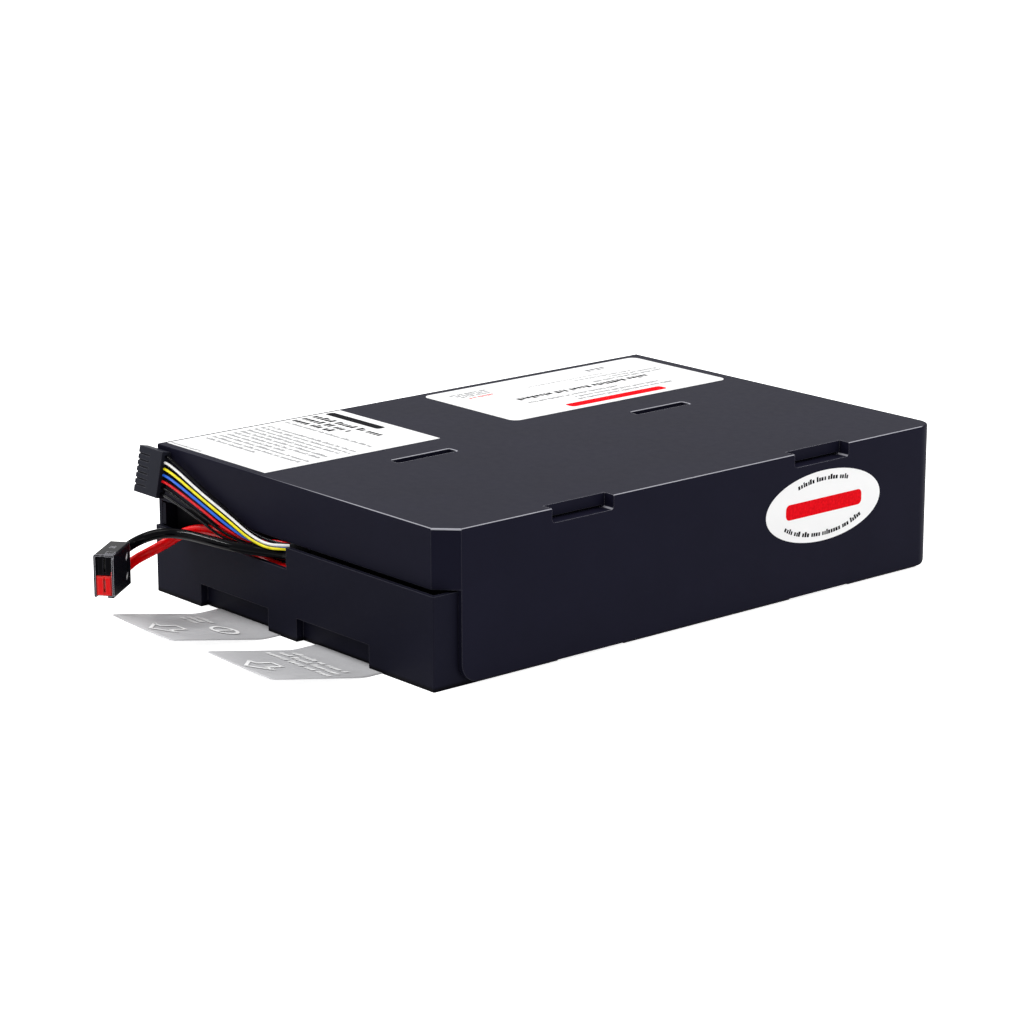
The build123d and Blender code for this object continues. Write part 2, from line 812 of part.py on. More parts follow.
# In a section plane x runs to the connector's right and y runs down
with BuildPart() as connector_shell:
    with BuildSketch(shell_section(0)):
        with Locations((0, -shell_height / 2)):
            RectangleRounded(shell_width, shell_height, shell_wall)
            Rectangle(
                shell_width - 2 * shell_wall,
                shell_height - 2 * shell_wall,
                mode=Mode.SUBTRACT,
            )
    extrude(amount=shell_length)
    # Lip of the right wall, in front of the mating end
    with BuildSketch(shell_section(0)):
        with Locations((shell_width / 2, -shell_height / 2)):
            Rectangle(
                shell_wall,
                shell_height - 2 * side_plate_inset,
                align=(Align.MAX, Align.CENTER),
            )
    extrude(amount=-side_plate_lip)
    # Latch block on the top, beside a notch in the front edge
    top_plane = shell_plane.offset(shell_height)
    with BuildSketch(top_plane.offset(-shell_wall / 2)):
        with Locations(latch_block_corner):
            Rectangle(*latch_block_size[:2], align=(Align.MIN, Align.MIN))
    extrude(amount=shell_wall / 2 + latch_block_size[2])
    with BuildSketch(top_plane):
        with Locations((latch_notch_left, 0)):
            Rectangle(*latch_notch_size[:2], align=(Align.MIN, Align.CENTER))
    extrude(amount=-latch_notch_size[2], mode=Mode.SUBTRACT)
    # Shallow crossed mark in the top
    with BuildSketch(top_plane):
        with Locations((0, mark_inset)):
            Rectangle(*mark_bar_size, rotation=45)
            Rectangle(*mark_bar_size, rotation=-45)
    extrude(amount=-mark_depth, mode=Mode.SUBTRACT)
    # Gap in the foot of the mating end
    with BuildSketch(shell_plane):
        with Locations((shell_wall - shell_width / 2, 0)):
            Rectangle(
                foot_cut_size[0], 2 * foot_cut_size[1], align=(Align.MIN, Align.CENTER)
            )
    extrude(amount=shell_wall, mode=Mode.SUBTRACT)
    # Slanted windows in the right wall
    window_plane = Plane(
        origin=shell_nose, x_dir=shell_plane.y_dir, z_dir=shell_plane.x_dir
    )
    with BuildSketch(window_plane.offset(shell_width / 2)):
        for pole_z in pole_centres:
            with Locations((shell_length - shell_window_inset, pole_z)):
                SlotOverall(
                    shell_window_length, shell_window_width, rotation=shell_window_turn
                )
    extrude(amount=-shell_wall, mode=Mode.SUBTRACT)
write(connector_shell, "power_connector_shell")

housing_height = pole_height - 2 * housing_fit
for pole_name, pole_z, front in (
    ("red", pole_centres[0], housing_front_red),
    ("black", pole_centres[1], housing_front_black),
):
    with BuildPart() as pole_housing:
        with BuildSketch(shell_section(front)):
            with Locations((0, -pole_z)):
                Rectangle(pole_width, housing_height)
        extrude(amount=shell_length - front)
        # Two upright ridges beside the mouth
        with BuildSketch(shell_section(front)):
            with Locations(*[(side * ridge_spread, -pole_z) for side in (-1, 1)]):
                Rectangle(ridge_width, housing_height - 2 * ridge_end_gap)
        extrude(amount=-ridge_depth)
        with BuildSketch(shell_section(front - ridge_depth)):
            with Locations((0, -pole_z)):
                Rectangle(mouth_width, mouth_height)
        extrude(amount=mouth_depth + ridge_depth, mode=Mode.SUBTRACT)
        # Key of the red pole, up the side of the black one
        if pole_name == "red":
            with BuildSketch(shell_section(front)):
                with Locations((pole_width / 2, -pole_z - housing_height / 2)):
                    Rectangle(
                        key_width, 2 * key_rise, align=(Align.MAX, Align.CENTER)
                    )
            extrude(amount=housing_front_black - front - housing_fit)
    write(pole_housing, f"power_housing_{pole_name}")
    with BuildPart() as contact:
        with BuildSketch(shell_section(front + contact_recess)):
            with Locations((0, -pole_z)):
                Rectangle(contact_width, contact_height)
        extrude(amount=mouth_depth - contact_recess)
    write(contact, f"power_contact_{pole_name}")

# Sense connector: a seven-way housing leaning on the cover's front wall
lean = math.radians(sense_lean)
sense_height = 2 * sense_margin + (sense_ways - 1) * sense_pitch
sense_plane = Plane(
    origin=(sense_right_x, -part_fit, sense_top_z),
    x_dir=(0, -math.sin(lean), -math.cos(lean)),
    z_dir=(-1, 0, 0),
)


def way_centre(index):
    """Place of one way in the sense connector's section plane."""
    return (sense_margin + index * sense_pitch, sense_front * sense_thickness / 2)


sense_front = 1 if sense_plane.y_dir.Y < 0 else -1
with BuildPart() as sense_housing:
    with BuildSketch(sense_plane):
        with Locations((sense_height / 2, sense_front * sense_thickness / 2)):
            RectangleRounded(sense_height, sense_thickness, part_fit)
    extrude(amount=sense_length)
    # Grooves between the ways, on the front and back, from the mating end
    with BuildSketch(sense_plane.offset(sense_length - sense_groove_length)):
        for index in range(sense_ways - 1):
            groove_x = sense_margin + (index + 0.5) * sense_pitch
            for face_y in (0, sense_front * sense_thickness):
                with Locations((groove_x, face_y)):
                    Rectangle(sense_groove_width, 2 * sense_groove_depth)
    extrude(amount=sense_groove_length, mode=Mode.SUBTRACT)
    # Square mouths for the mating pins
    with BuildSketch(sense_plane.offset(sense_length)):
        for index in range(sense_ways):
            with Locations(way_centre(index)):
                Rectangle(sense_mouth_size, sense_mouth_size)
    extrude(amount=-sense_mouth_depth, mode=Mode.SUBTRACT)
write(sense_housing, "sense_connector_housing")

with BuildPart() as sense_contacts:
    contact_start = sense_length - sense_mouth_depth
    with BuildSketch(sense_plane.offset(contact_start)):
        for index in range(sense_ways):
            with Locations(way_centre(index)):
                Rectangle(
                    sense_mouth_size - 2 * tab_fit, sense_mouth_size - 2 * tab_fit
                )
                Rectangle(
                    sense_mouth_size - 6 * tab_fit,
                    sense_mouth_size - 6 * tab_fit,
                    mode=Mode.SUBTRACT,
                )
    extrude(amount=sense_contact_length)
write(sense_contacts, "sense_contacts")
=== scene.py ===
import math
import random

import bmesh
import bpy
from bpy.props import FloatProperty, FloatVectorProperty, IntProperty, PointerProperty
from bpy.types import Operator, Panel, PropertyGroup
from mathutils import Matrix, Vector


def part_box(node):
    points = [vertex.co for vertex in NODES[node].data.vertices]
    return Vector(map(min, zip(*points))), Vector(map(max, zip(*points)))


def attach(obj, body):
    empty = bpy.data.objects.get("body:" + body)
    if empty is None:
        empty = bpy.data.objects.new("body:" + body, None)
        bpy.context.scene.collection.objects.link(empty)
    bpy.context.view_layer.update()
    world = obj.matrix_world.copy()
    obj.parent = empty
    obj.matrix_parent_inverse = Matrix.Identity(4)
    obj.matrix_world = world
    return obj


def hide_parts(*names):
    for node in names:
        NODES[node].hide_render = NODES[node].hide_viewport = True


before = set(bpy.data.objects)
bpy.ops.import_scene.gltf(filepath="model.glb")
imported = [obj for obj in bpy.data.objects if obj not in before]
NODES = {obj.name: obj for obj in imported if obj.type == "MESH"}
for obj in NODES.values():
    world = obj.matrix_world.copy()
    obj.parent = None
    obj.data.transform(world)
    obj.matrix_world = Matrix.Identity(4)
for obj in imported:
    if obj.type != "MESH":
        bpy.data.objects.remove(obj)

bl_info = {
    "name": "Battery Cartridge",
    "version": (1, 0, 0),
    "blender": (4, 5, 0),
    "location": "View3D > Sidebar > Cartridge",
    "description": "Dresses a slide-in battery cartridge with its labels, leads and pull tabs",
    "category": "Add Mesh",
}

MM = 0.001
# Places of the inks in the material lists of the labels and of the pull tabs
DARK, GREY, RED = range(3)
TAB_INK = 0
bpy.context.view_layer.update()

# Routes of the free cords, in metres, from the connector to the outlet
POWER_ROUTES = {
    "power_cable_black": [
        (-0.07839, -0.04286, 0.0314), (-0.08332, -0.03655, 0.0314),
        (-0.0850, -0.0287, 0.0334), (-0.0826, -0.0210, 0.0356),
        (-0.0772, -0.0152, 0.0366), (-0.0690, -0.0123, 0.0368),
        (-0.0543, -0.0114, 0.0373), (-0.0385, -0.0098, 0.0374),
        (-0.0255, -0.0058, 0.0373), (-0.0165, -0.0010, 0.0372),
        (-0.0080, 0.0011, 0.0373),
    ],
    "power_cable_red": [
        (-0.07839, -0.04286, 0.0221), (-0.08332, -0.03655, 0.0221),
        (-0.0866, -0.0293, 0.0238), (-0.0863, -0.0210, 0.0262),
        (-0.0836, -0.0136, 0.0296), (-0.0782, -0.0080, 0.0346),
        (-0.0690, -0.0050, 0.0382), (-0.0565, -0.0036, 0.0396),
        (-0.0460, -0.0022, 0.0389), (-0.0384, 0.0006, 0.0366),
        (-0.0305, 0.0011, 0.0322), (-0.0220, 0.0011, 0.0306),
        (-0.0080, 0.0011, 0.0305),
    ],
}
SENSE_ROUTES = {
    "sense_wire_black_1": [
        (-0.0965, -0.0032, 0.0679), (-0.0925, -0.0032, 0.0679), (-0.0695, -0.0023, 0.0580),
        (-0.0480, -0.0021, 0.0508), (-0.0340, -0.0020, 0.0452), (-0.0230, -0.0020, 0.0432),
        (-0.0145, -0.0018, 0.0430), (-0.0060, -0.00169, 0.0433), (-0.00287, 0.0005, 0.0433),
    ],
    "sense_wire_white": [
        (-0.0965, -0.0038, 0.0650), (-0.0925, -0.0038, 0.0650), (-0.0676, -0.0043, 0.0562),
        (-0.0457, -0.0042, 0.0496), (-0.0312, -0.0040, 0.0443), (-0.0215, -0.0039, 0.0422),
        (-0.0135, -0.0037, 0.0419), (-0.0055, -0.00341, 0.0433), (-0.0019, -0.00089, 0.0433),
    ],
    "sense_wire_yellow": [
        (-0.0965, -0.0044, 0.0620), (-0.0925, -0.0044, 0.0620), (-0.0666, -0.0050, 0.0540),
        (-0.0447, -0.0050, 0.0473), (-0.0302, -0.0047, 0.0422), (-0.0210, -0.0043, 0.0405),
        (-0.0130, -0.0037, 0.0402), (-0.0055, -0.00341, 0.0415), (-0.0019, -0.00089, 0.0415),
    ],
    "sense_wire_blue": [
        (-0.0965, -0.0050, 0.0591), (-0.0925, -0.0050, 0.0591), (-0.0658, -0.0057, 0.0517),
        (-0.0439, -0.0056, 0.0449), (-0.0320, -0.0040, 0.0410), (-0.0235, -0.0022, 0.0406),
        (-0.0150, -0.0019, 0.0411), (-0.0060, -0.00169, 0.0415), (-0.00287, 0.0005, 0.0415),
    ],
    "sense_wire_red": [
        (-0.0965, -0.0056, 0.0561), (-0.0925, -0.0056, 0.0561), (-0.0651, -0.0064, 0.0495),
        (-0.0450, -0.0064, 0.0433), (-0.0338, -0.0029, 0.0398), (-0.0250, -0.0005, 0.0406),
        (-0.0160, -0.0001, 0.0427), (-0.0066, -0.00003, 0.0433), (-0.00385, 0.0019, 0.0433),
    ],
    "sense_wire_black_2": [
        (-0.0965, -0.0062, 0.0532), (-0.0925, -0.0062, 0.0532), (-0.0641, -0.0072, 0.0469),
        (-0.0465, -0.0073, 0.0419), (-0.0365, -0.0034, 0.0385), (-0.0260, -0.0009, 0.0380),
        (-0.0165, 0.0, 0.0409), (-0.0066, -0.00003, 0.0415), (-0.00385, 0.0019, 0.0415),
    ],
    "sense_wire_black_3": [
        (-0.0965, -0.0068, 0.0503), (-0.0925, -0.0068, 0.0503), (-0.0629, -0.0080, 0.0444),
        (-0.0485, -0.0078, 0.0399), (-0.0395, -0.0038, 0.0371), (-0.0290, 0.0010, 0.0382),
        (-0.0175, 0.0017, 0.0423), (-0.00711, 0.00168, 0.0433), (-0.00482, 0.00329, 0.0433),
    ],
}


class CartridgeStudioSettings(PropertyGroup):
    """Camera, lamps and floor."""

    lens: FloatProperty(
        name="Lens", description="Focal length on a 36 mm sensor, in millimetres", default=111.845
    )
    camera_place: FloatVectorProperty(
        name="Camera place", description="Where the camera stands", size=3, unit="LENGTH",
        subtype="TRANSLATION", default=(1.124968, -0.834497, 0.430266),
    )
    camera_turn: FloatProperty(
        name="Camera turn", description="Turn of the camera about the vertical",
        subtype="ANGLE", default=math.radians(49.369),
    )
    camera_rise: FloatProperty(
        name="Camera rise", description="Height of the camera above the level",
        subtype="ANGLE", default=math.radians(14.867),
    )
    camera_roll: FloatProperty(
        name="Camera roll", description="Roll of the camera about its view",
        subtype="ANGLE", default=math.radians(-0.06),
    )
    sky_level: FloatProperty(
        name="Sky level", description="Strength of the sky as a light", default=0.38
    )
    key_power: FloatProperty(
        name="Key power", description="Power of the strip lamp at the left, in watts", default=8.5
    )
    rim_power: FloatProperty(
        name="Rim power", description="Power of the strip lamp behind, in watts", default=7.0
    )
    fill_power: FloatProperty(
        name="Fill power", description="Power of the soft lamp at the right, in watts", default=5.0
    )
    overhead_power: FloatProperty(
        name="Overhead power", description="Power of the soft lamp above the front, in watts",
        default=7.5,
    )
    floor_glow: FloatProperty(
        name="Floor glow", description="Share of the floor's white that the shadow keeps",
        subtype="FACTOR", default=0.84,
    )


class CartridgeCaseSettings(PropertyGroup):
    """Moulded case."""

    cover_colour: FloatVectorProperty(
        name="Cover colour", description="Colour of the cover's plastic", subtype="COLOR",
        size=3, min=0.0, max=1.0, default=(0.0080, 0.0078, 0.0168),
    )
    tray_colour: FloatVectorProperty(
        name="Tray colour", description="Colour of the tray's plastic", subtype="COLOR",
        size=3, min=0.0, max=1.0, default=(0.0078, 0.0078, 0.0155),
    )
    grain: FloatProperty(
        name="Grain", description="Size of the moulded grain", unit="LENGTH", default=0.0006,
        precision=5,
    )
    grain_depth: FloatProperty(
        name="Grain depth", description="Depth of the moulded grain", unit="LENGTH",
        default=0.00002, precision=6,
    )
    roughness: FloatProperty(
        name="Roughness", description="Roughness of the moulded plastic", subtype="FACTOR",
        default=0.42,
    )
    gloss: FloatProperty(
        name="Gloss", description="Specular level of the moulded plastic", subtype="FACTOR",
        default=0.022,
    )
    edge_radius: FloatProperty(
        name="Edge radius", description="Rounding that the moulded edges catch light on",
        unit="LENGTH", default=0.00045, precision=5,
    )
    # Painted highlight: the colour that the edges are lightened to, where they would catch light
    edge_highlight_colour: FloatVectorProperty(
        name="Edge colour", description="Colour of the burnished edges", subtype="COLOR",
        size=3, min=0.0, max=1.0, default=(0.055, 0.055, 0.070),
    )
    # Painted highlight: the colour of the cover's rounded top edge and of the edges of its openings
    rim_highlight_colour: FloatVectorProperty(
        name="Rim colour", description="Colour of the cover's rounded top edge", subtype="COLOR",
        size=3, min=0.0, max=1.0, default=(0.36, 0.36, 0.40),
    )
    # Painted shade: the colour and the height of the darker band at the foot of the walls
    foot_shade_colour: FloatVectorProperty(
        name="Foot colour", description="Colour of the walls close to the ground",
        subtype="COLOR", size=3, min=0.0, max=1.0, default=(0.0015, 0.0015, 0.0030),
    )
    foot_shade_height: FloatProperty(
        name="Foot height", description="Height of the darker foot of the walls",
        unit="LENGTH", default=0.0024, precision=4,
    )


class CartridgeLabelSettings(PropertyGroup):
    """Labels and their print."""

    paper_colour: FloatVectorProperty(
        name="Paper colour", description="Colour of the label film", subtype="COLOR", size=3,
        min=0.0, max=1.0, default=(0.87, 0.87, 0.87),
    )
    dark_ink: FloatVectorProperty(
        name="Dark ink", description="Colour of the headings", subtype="COLOR", size=3,
        min=0.0, max=1.0, default=(0.012, 0.012, 0.014),
    )
    grey_ink: FloatVectorProperty(
        name="Grey ink", description="Colour of the small rows", subtype="COLOR", size=3,
        min=0.0, max=1.0, default=(0.27, 0.27, 0.28),
    )
    red_ink: FloatVectorProperty(
        name="Red ink", description="Colour of the plain red bars", subtype="COLOR", size=3,
        min=0.0, max=1.0, default=(0.74, 0.006, 0.012),
    )
    print_lift: FloatProperty(
        name="Print lift", description="Height of the print above the film", unit="LENGTH",
        default=0.00003, precision=6,
    )


class CartridgePullTabSettings(PropertyGroup):
    """Pull tabs."""

    film_colour: FloatVectorProperty(
        name="Film colour", description="Colour of the grey film", subtype="COLOR", size=3,
        min=0.0, max=1.0, default=(0.56, 0.56, 0.575),
    )
    print_colour: FloatVectorProperty(
        name="Print colour", description="Colour of the print on the film", subtype="COLOR",
        size=3, min=0.0, max=1.0, default=(0.98, 0.98, 0.98),
    )
    fold_radius: FloatProperty(
        name="Fold radius", description="Radius of the bend where the film leaves the case",
        unit="LENGTH", default=0.045,
    )
    corner_radius: FloatProperty(
        name="Corner radius", description="Rounding of the film's free corners", unit="LENGTH",
        default=0.0015, precision=4,
    )


class CartridgeLeadSettings(PropertyGroup):
    """Power cables and sense wires."""

    power_diameter: FloatProperty(
        name="Power cable diameter", description="Outer diameter of a power cable",
        unit="LENGTH", default=0.005, precision=4,
    )
    wire_diameter: FloatProperty(
        name="Wire diameter", description="Outer diameter of a sense wire", unit="LENGTH",
        default=0.0013, precision=4,
    )
    smoothness: IntProperty(
        name="Smoothness", description="Steps between two points of a route", default=14
    )
    black: FloatVectorProperty(
        name="Black jacket", description="Colour of the black jackets", subtype="COLOR",
        size=3, min=0.0, max=1.0, default=(0.0015, 0.0015, 0.0025),
    )
    red: FloatVectorProperty(
        name="Red jacket", description="Colour of the red power cable", subtype="COLOR",
        size=3, min=0.0, max=1.0, default=(0.84, 0.001, 0.003),
    )
    wire_white: FloatVectorProperty(
        name="White wire", description="Colour of the white wire", subtype="COLOR", size=3,
        min=0.0, max=1.0, default=(0.88, 0.88, 0.86),
    )
    wire_yellow: FloatVectorProperty(
        name="Yellow wire", description="Colour of the yellow wire", subtype="COLOR", size=3,
        min=0.0, max=1.0, default=(0.88, 0.77, 0.02),
    )
    wire_blue: FloatVectorProperty(
        name="Blue wire", description="Colour of the blue wire", subtype="COLOR", size=3,
        min=0.0, max=1.0, default=(0.025, 0.14, 0.74),
    )
    wire_red: FloatVectorProperty(
        name="Red wire", description="Colour of the red wire", subtype="COLOR", size=3,
        min=0.0, max=1.0, default=(0.66, 0.006, 0.010),
    )


def add_node(tree, kind, values=None, sources=None, **options):
    """Add a node with its options, then set some of its sockets and link others."""
    node = tree.nodes.new(kind)
    for option, value in options.items():
        setattr(node, option, value)
    for socket, value in (values or {}).items():
        node.inputs[socket].default_value = value
    for socket, source in (sources or {}).items():
        tree.links.new(source, node.inputs[socket])
    return node


class NodeBench:
    """A material under construction, with its shader and object coordinates."""

    bevel_samples = 6
    # The stretch of a noise that carries its change
    roughness_ends = (0.3, 0.7)
    colour_ends = (0.32, 0.68)
    # The way that the rim's painted highlight faces, and where along X the painted highlight fades
    # out
    rim_highlight_facing = (0.5, -0.5, 0.707)
    rim_fade_from = -30 * MM
    rim_fade_to = 60 * MM
    rim_fade_depth = -0.05
    # What a level face takes off the likeness, so that only its edges get the painted highlight
    level_weight = -0.5

    def __init__(self, name, colour, roughness, specular=0.5):
        self.material = bpy.data.materials.new(name)
        self.material.use_nodes = True
        self.tree = self.material.node_tree
        self.shader = self.tree.nodes["Principled BSDF"]
        self.shader.inputs["Base Color"].default_value = (*colour, 1.0)
        self.shader.inputs["Roughness"].default_value = roughness
        self.shader.inputs["Specular IOR Level"].default_value = specular
        self.coordinates = self.add("ShaderNodeTexCoord").outputs["Object"]

    def add(self, kind, values=None, sources=None, **options):
        """Add a node to this material."""
        return add_node(self.tree, kind, values, sources, **options)

    def feed(self, source, socket):
        """Link a value or colour to a socket of the shader."""
        self.tree.links.new(source, self.shader.inputs[socket])

    def noise(self, size, detail=2.0, roughness=0.5, stretch=None):
        """Noise whose features are about one size long, in metres."""
        source = self.coordinates
        if stretch:
            mapping = self.add("ShaderNodeMapping", {"Scale": stretch}, {"Vector": source})
            source = mapping.outputs["Vector"]
        texture = self.add(
            "ShaderNodeTexNoise", {"Scale": 1.0 / size, "Detail": detail, "Roughness": roughness},
            {"Vector": source},
        )
        return texture.outputs["Fac"]

    def vary_roughness(self, value, low, high):
        """Let the middle of a noise run from a low roughness to a high one."""
        first, last = self.roughness_ends
        spread = self.add(
            "ShaderNodeMapRange",
            {"From Min": first, "From Max": last, "To Min": low, "To Max": high}, {"Value": value},
        )
        self.feed(spread.outputs["Result"], "Roughness")

    def vary_colour(self, value, first, second):
        """Let the middle of a noise run from one colour to another."""
        ramp = self.add("ShaderNodeValToRGB", sources={"Fac": value})
        elements = ramp.color_ramp.elements
        for element, place, colour in zip(elements, self.colour_ends, (first, second)):
            element.position = place
            element.color = (*colour, 1.0)
        self.feed(ramp.outputs["Color"], "Base Color")

    def mottle(self, colour, size, darker, lighter, detail=2.0):
        """Mottle the base colour, between a darker and a lighter shade of it."""
        spots = self.noise(size, detail)
        self.vary_colour(spots, scaled(colour, darker), scaled(colour, lighter))

    def paint_edge_highlights(self, radius, colour):
        """Paint highlights on the edges: lighten the base colour where the rounded normal leaves
        the flat one.
        """
        rounded = self.add("ShaderNodeBevel", {"Radius": radius}, samples=self.bevel_samples)
        normal = self.add("ShaderNodeNewGeometry").outputs["True Normal"]
        likeness = self.add(
            "ShaderNodeVectorMath", sources={0: rounded.outputs["Normal"], 1: normal},
            operation="DOT_PRODUCT",
        ).outputs["Value"]
        self.tint_where(likeness, ((0.90, 1.0), (0.995, 0.0)), colour)
        return likeness, normal

    def paint_top_edge_highlights(self, likeness, normal, colour):
        """Paint a highlight on the edges of the openings in the level top, lighter than on all the
        others.
        """
        parts = self.add("ShaderNodeSeparateXYZ", sources={"Vector": normal})
        level = self.add(
            "ShaderNodeMath", {1: self.level_weight}, {0: parts.outputs["Z"], 2: likeness},
            operation="MULTIPLY_ADD",
        )
        self.tint_where(level.outputs["Value"], ((0.40, 1.0), (0.495, 0.0)), colour)

    def paint_rim_highlight(self, colour):
        """Paint a highlight on the rounded top edge in front and at the right, fading to the left.
        """
        flat = self.add("ShaderNodeNewGeometry")
        facing = self.add(
            "ShaderNodeVectorMath", {1: self.rim_highlight_facing}, {0: flat.outputs["Normal"]},
            operation="DOT_PRODUCT",
        )
        place = self.add("ShaderNodeSeparateXYZ", sources={"Vector": self.coordinates})
        fade = self.add(
            "ShaderNodeMapRange",
            {
                "From Min": self.rim_fade_from, "From Max": self.rim_fade_to,
                "To Min": self.rim_fade_depth, "To Max": 0.0,
            },
            {"Value": place.outputs["X"]},
        )
        total = self.add(
            "ShaderNodeMath", sources={0: facing.outputs["Value"], 1: fade.outputs["Result"]}
        )
        self.tint_where(total.outputs["Value"], ((0.81, 0.0), (0.85, 1.0)), colour)

    def paint_foot_shade(self, height, colour):
        """Paint shade on the rounded foot of the walls, darker towards the ground, up to a height
        above it.
        """
        place = self.add("ShaderNodeSeparateXYZ", sources={"Vector": self.coordinates})
        rise = self.add("ShaderNodeMapRange", {"From Max": height}, {"Value": place.outputs["Z"]})
        self.tint_where(rise.outputs["Result"], ((0.45, 1.0), (1.0, 0.0)), colour)

    def tint_where(self, value, stops, colour):
        """Blend a colour over the base by a ramp of two places and strengths."""
        ramp = self.add("ShaderNodeValToRGB", sources={"Fac": value})
        for element, (place, strength) in zip(ramp.color_ramp.elements, stops):
            element.position = place
            element.color = (strength, strength, strength, 1.0)
        blend = self.add("ShaderNodeMix", data_type="RGBA")
        blend_socket(blend.inputs, "B").default_value = (*colour, 1.0)
        base = self.shader.inputs["Base Color"].links[0].from_socket
        self.tree.links.new(ramp.outputs["Color"], blend.inputs["Factor"])
        self.tree.links.new(base, blend_socket(blend.inputs, "A"))
        self.feed(blend_socket(blend.outputs, "Result"), "Base Color")

    def bump(self, height, depth, strength=1.0, edge_radius=0.0):
        """Raise the surface by a height, over edges that are rounded for the light."""
        raised = self.add(
            "ShaderNodeBump", {"Distance": depth, "Strength": strength}, {"Height": height}
        )
        if edge_radius:
            edge = self.add("ShaderNodeBevel", {"Radius": edge_radius}, samples=self.bevel_samples)
            self.tree.links.new(edge.outputs["Normal"], raised.inputs["Normal"])
        self.feed(raised.outputs["Normal"], "Normal")


def blend_socket(sockets, name):
    """The colour socket of a mix node, whose sockets share their names."""
    return next(socket for socket in sockets if socket.name == name and socket.type == "RGBA")


def scaled(colour, factor):
    """A colour made lighter or darker."""
    return tuple(min(1.0, channel * factor) for channel in colour)


def moulded_plastic(
    name, colour, roughness, gloss, edge_highlight_colour, rim_highlight_colour=None, foot_shade_colour=None,
    edge_radius=None,
):
    """Moulded plastic with a fine spark-eroded grain and painted highlights on its edges, with
    painted shade at the foot of the walls and painted highlights on the top edges and rim where
    asked for.
    """
    case = settings("cartridge_case")
    edge_radius = edge_radius or case.edge_radius
    bench = NodeBench(name, colour, roughness, gloss)
    bench.mottle(colour, size=0.03, detail=3.0, darker=0.94, lighter=1.06)
    likeness, normal = bench.paint_edge_highlights(edge_radius, edge_highlight_colour)
    if foot_shade_colour:
        bench.paint_foot_shade(case.foot_shade_height, foot_shade_colour)
    if rim_highlight_colour:
        bench.paint_top_edge_highlights(likeness, normal, rim_highlight_colour)
        bench.paint_rim_highlight(rim_highlight_colour)
    bench.vary_roughness(
        bench.noise(size=0.004, detail=4.0, roughness=0.6),
        low=roughness - 0.01, high=roughness + 0.02,
    )
    bench.bump(
        bench.noise(case.grain, roughness=0.45), case.grain_depth, strength=0.25,
        edge_radius=edge_radius,
    )
    return bench.material


def glossy_jacket(name, colour, roughness=0.24, gloss=0.12):
    """Smooth cable jacket with faint extrusion waves."""
    bench = NodeBench(name, colour, roughness, gloss)
    bench.mottle(colour, size=0.004, darker=0.90, lighter=1.10)
    bench.vary_roughness(
        bench.noise(size=0.003, detail=3.0), low=roughness - 0.03, high=roughness + 0.04
    )
    bench.bump(bench.noise(size=0.0035), depth=0.00003, strength=0.25)
    return bench.material


def label_film(name, colour):
    """White film label with a faint orange peel."""
    bench = NodeBench(name, colour, roughness=0.38, specular=0.4)
    bench.mottle(colour, size=0.02, darker=0.985, lighter=1.01)
    bench.vary_roughness(bench.noise(size=0.006, detail=3.0), low=0.34, high=0.44)
    bench.bump(bench.noise(size=0.0018), depth=0.000004, strength=0.5)
    return bench.material


def printed_ink(name, colour):
    """Thin ink, slightly uneven where the roller printed it."""
    bench = NodeBench(name, colour, roughness=0.6, specular=0.005)
    bench.mottle(colour, size=0.0012, detail=3.0, darker=0.88, lighter=1.12)
    bench.vary_roughness(bench.noise(size=0.002), low=0.55, high=0.65)
    return bench.material


def pull_film(name, colour):
    """Grey film with fine scuffs along its pull."""
    bench = NodeBench(name, colour, roughness=0.40, specular=0.4)
    scuffs = bench.noise(size=0.004, detail=4.0, roughness=0.65, stretch=(6.0, 1.0, 1.0))
    bench.vary_colour(scuffs, scaled(colour, 0.95), scaled(colour, 1.04))
    bench.vary_roughness(bench.noise(size=0.01, detail=3.0), low=0.34, high=0.50)
    bench.bump(bench.noise(size=0.006), depth=0.00003, strength=0.35)
    return bench.material


def tinned_metal(name, colour):
    """Tinned brass with faint rolling marks."""
    bench = NodeBench(name, colour, roughness=0.28)
    bench.shader.inputs["Metallic"].default_value = 1.0
    marks = bench.noise(size=0.0008, detail=3.0, roughness=0.6, stretch=(1.0, 8.0, 1.0))
    bench.vary_roughness(marks, low=0.22, high=0.38)
    bench.mottle(colour, size=0.002, darker=0.9, lighter=1.05)
    return bench.material


def battery_case(name, colour):
    """Dull battery box with a cast grain and flow marks."""
    bench = NodeBench(name, colour, roughness=0.5, specular=0.01)
    bench.mottle(colour, size=0.02, detail=4.0, darker=0.85, lighter=1.1)
    bench.vary_roughness(bench.noise(size=0.01, detail=3.0), low=0.42, high=0.6)
    cast_grain = bench.noise(size=0.0009, detail=3.0)
    bench.bump(cast_grain, depth=0.00004, strength=0.6, edge_radius=0.6 * MM)
    return bench.material


def wound_tape(name, colour):
    """Cloth tape wound in overlapping turns."""
    bench = NodeBench(name, colour, roughness=0.75, specular=0.2)
    turns = bench.add(
        "ShaderNodeTexWave", {"Scale": 36.0, "Distortion": 0.6}, {"Vector": bench.coordinates},
        bands_direction="DIAGONAL",
    )
    bench.mottle(colour, size=0.0006, darker=0.7, lighter=1.4)
    bench.bump(turns.outputs["Fac"], depth=0.0002, strength=0.6)
    return bench.material


def open_foam(name, colour):
    """Dark foam with open cells."""
    bench = NodeBench(name, colour, roughness=0.9, specular=0.1)
    cells = bench.add(
        "ShaderNodeTexVoronoi", {"Scale": 1400.0}, {"Vector": bench.coordinates}
    ).outputs["Distance"]
    bench.vary_colour(cells, scaled(colour, 0.5), scaled(colour, 1.3))
    bench.bump(cells, depth=0.0003, strength=0.8)
    return bench.material


def set_finish(material, *names):
    """Give CAD nodes a finish."""
    for name in names:
        slots = NODES[name].data.materials
        slots.clear()
        slots.append(material)


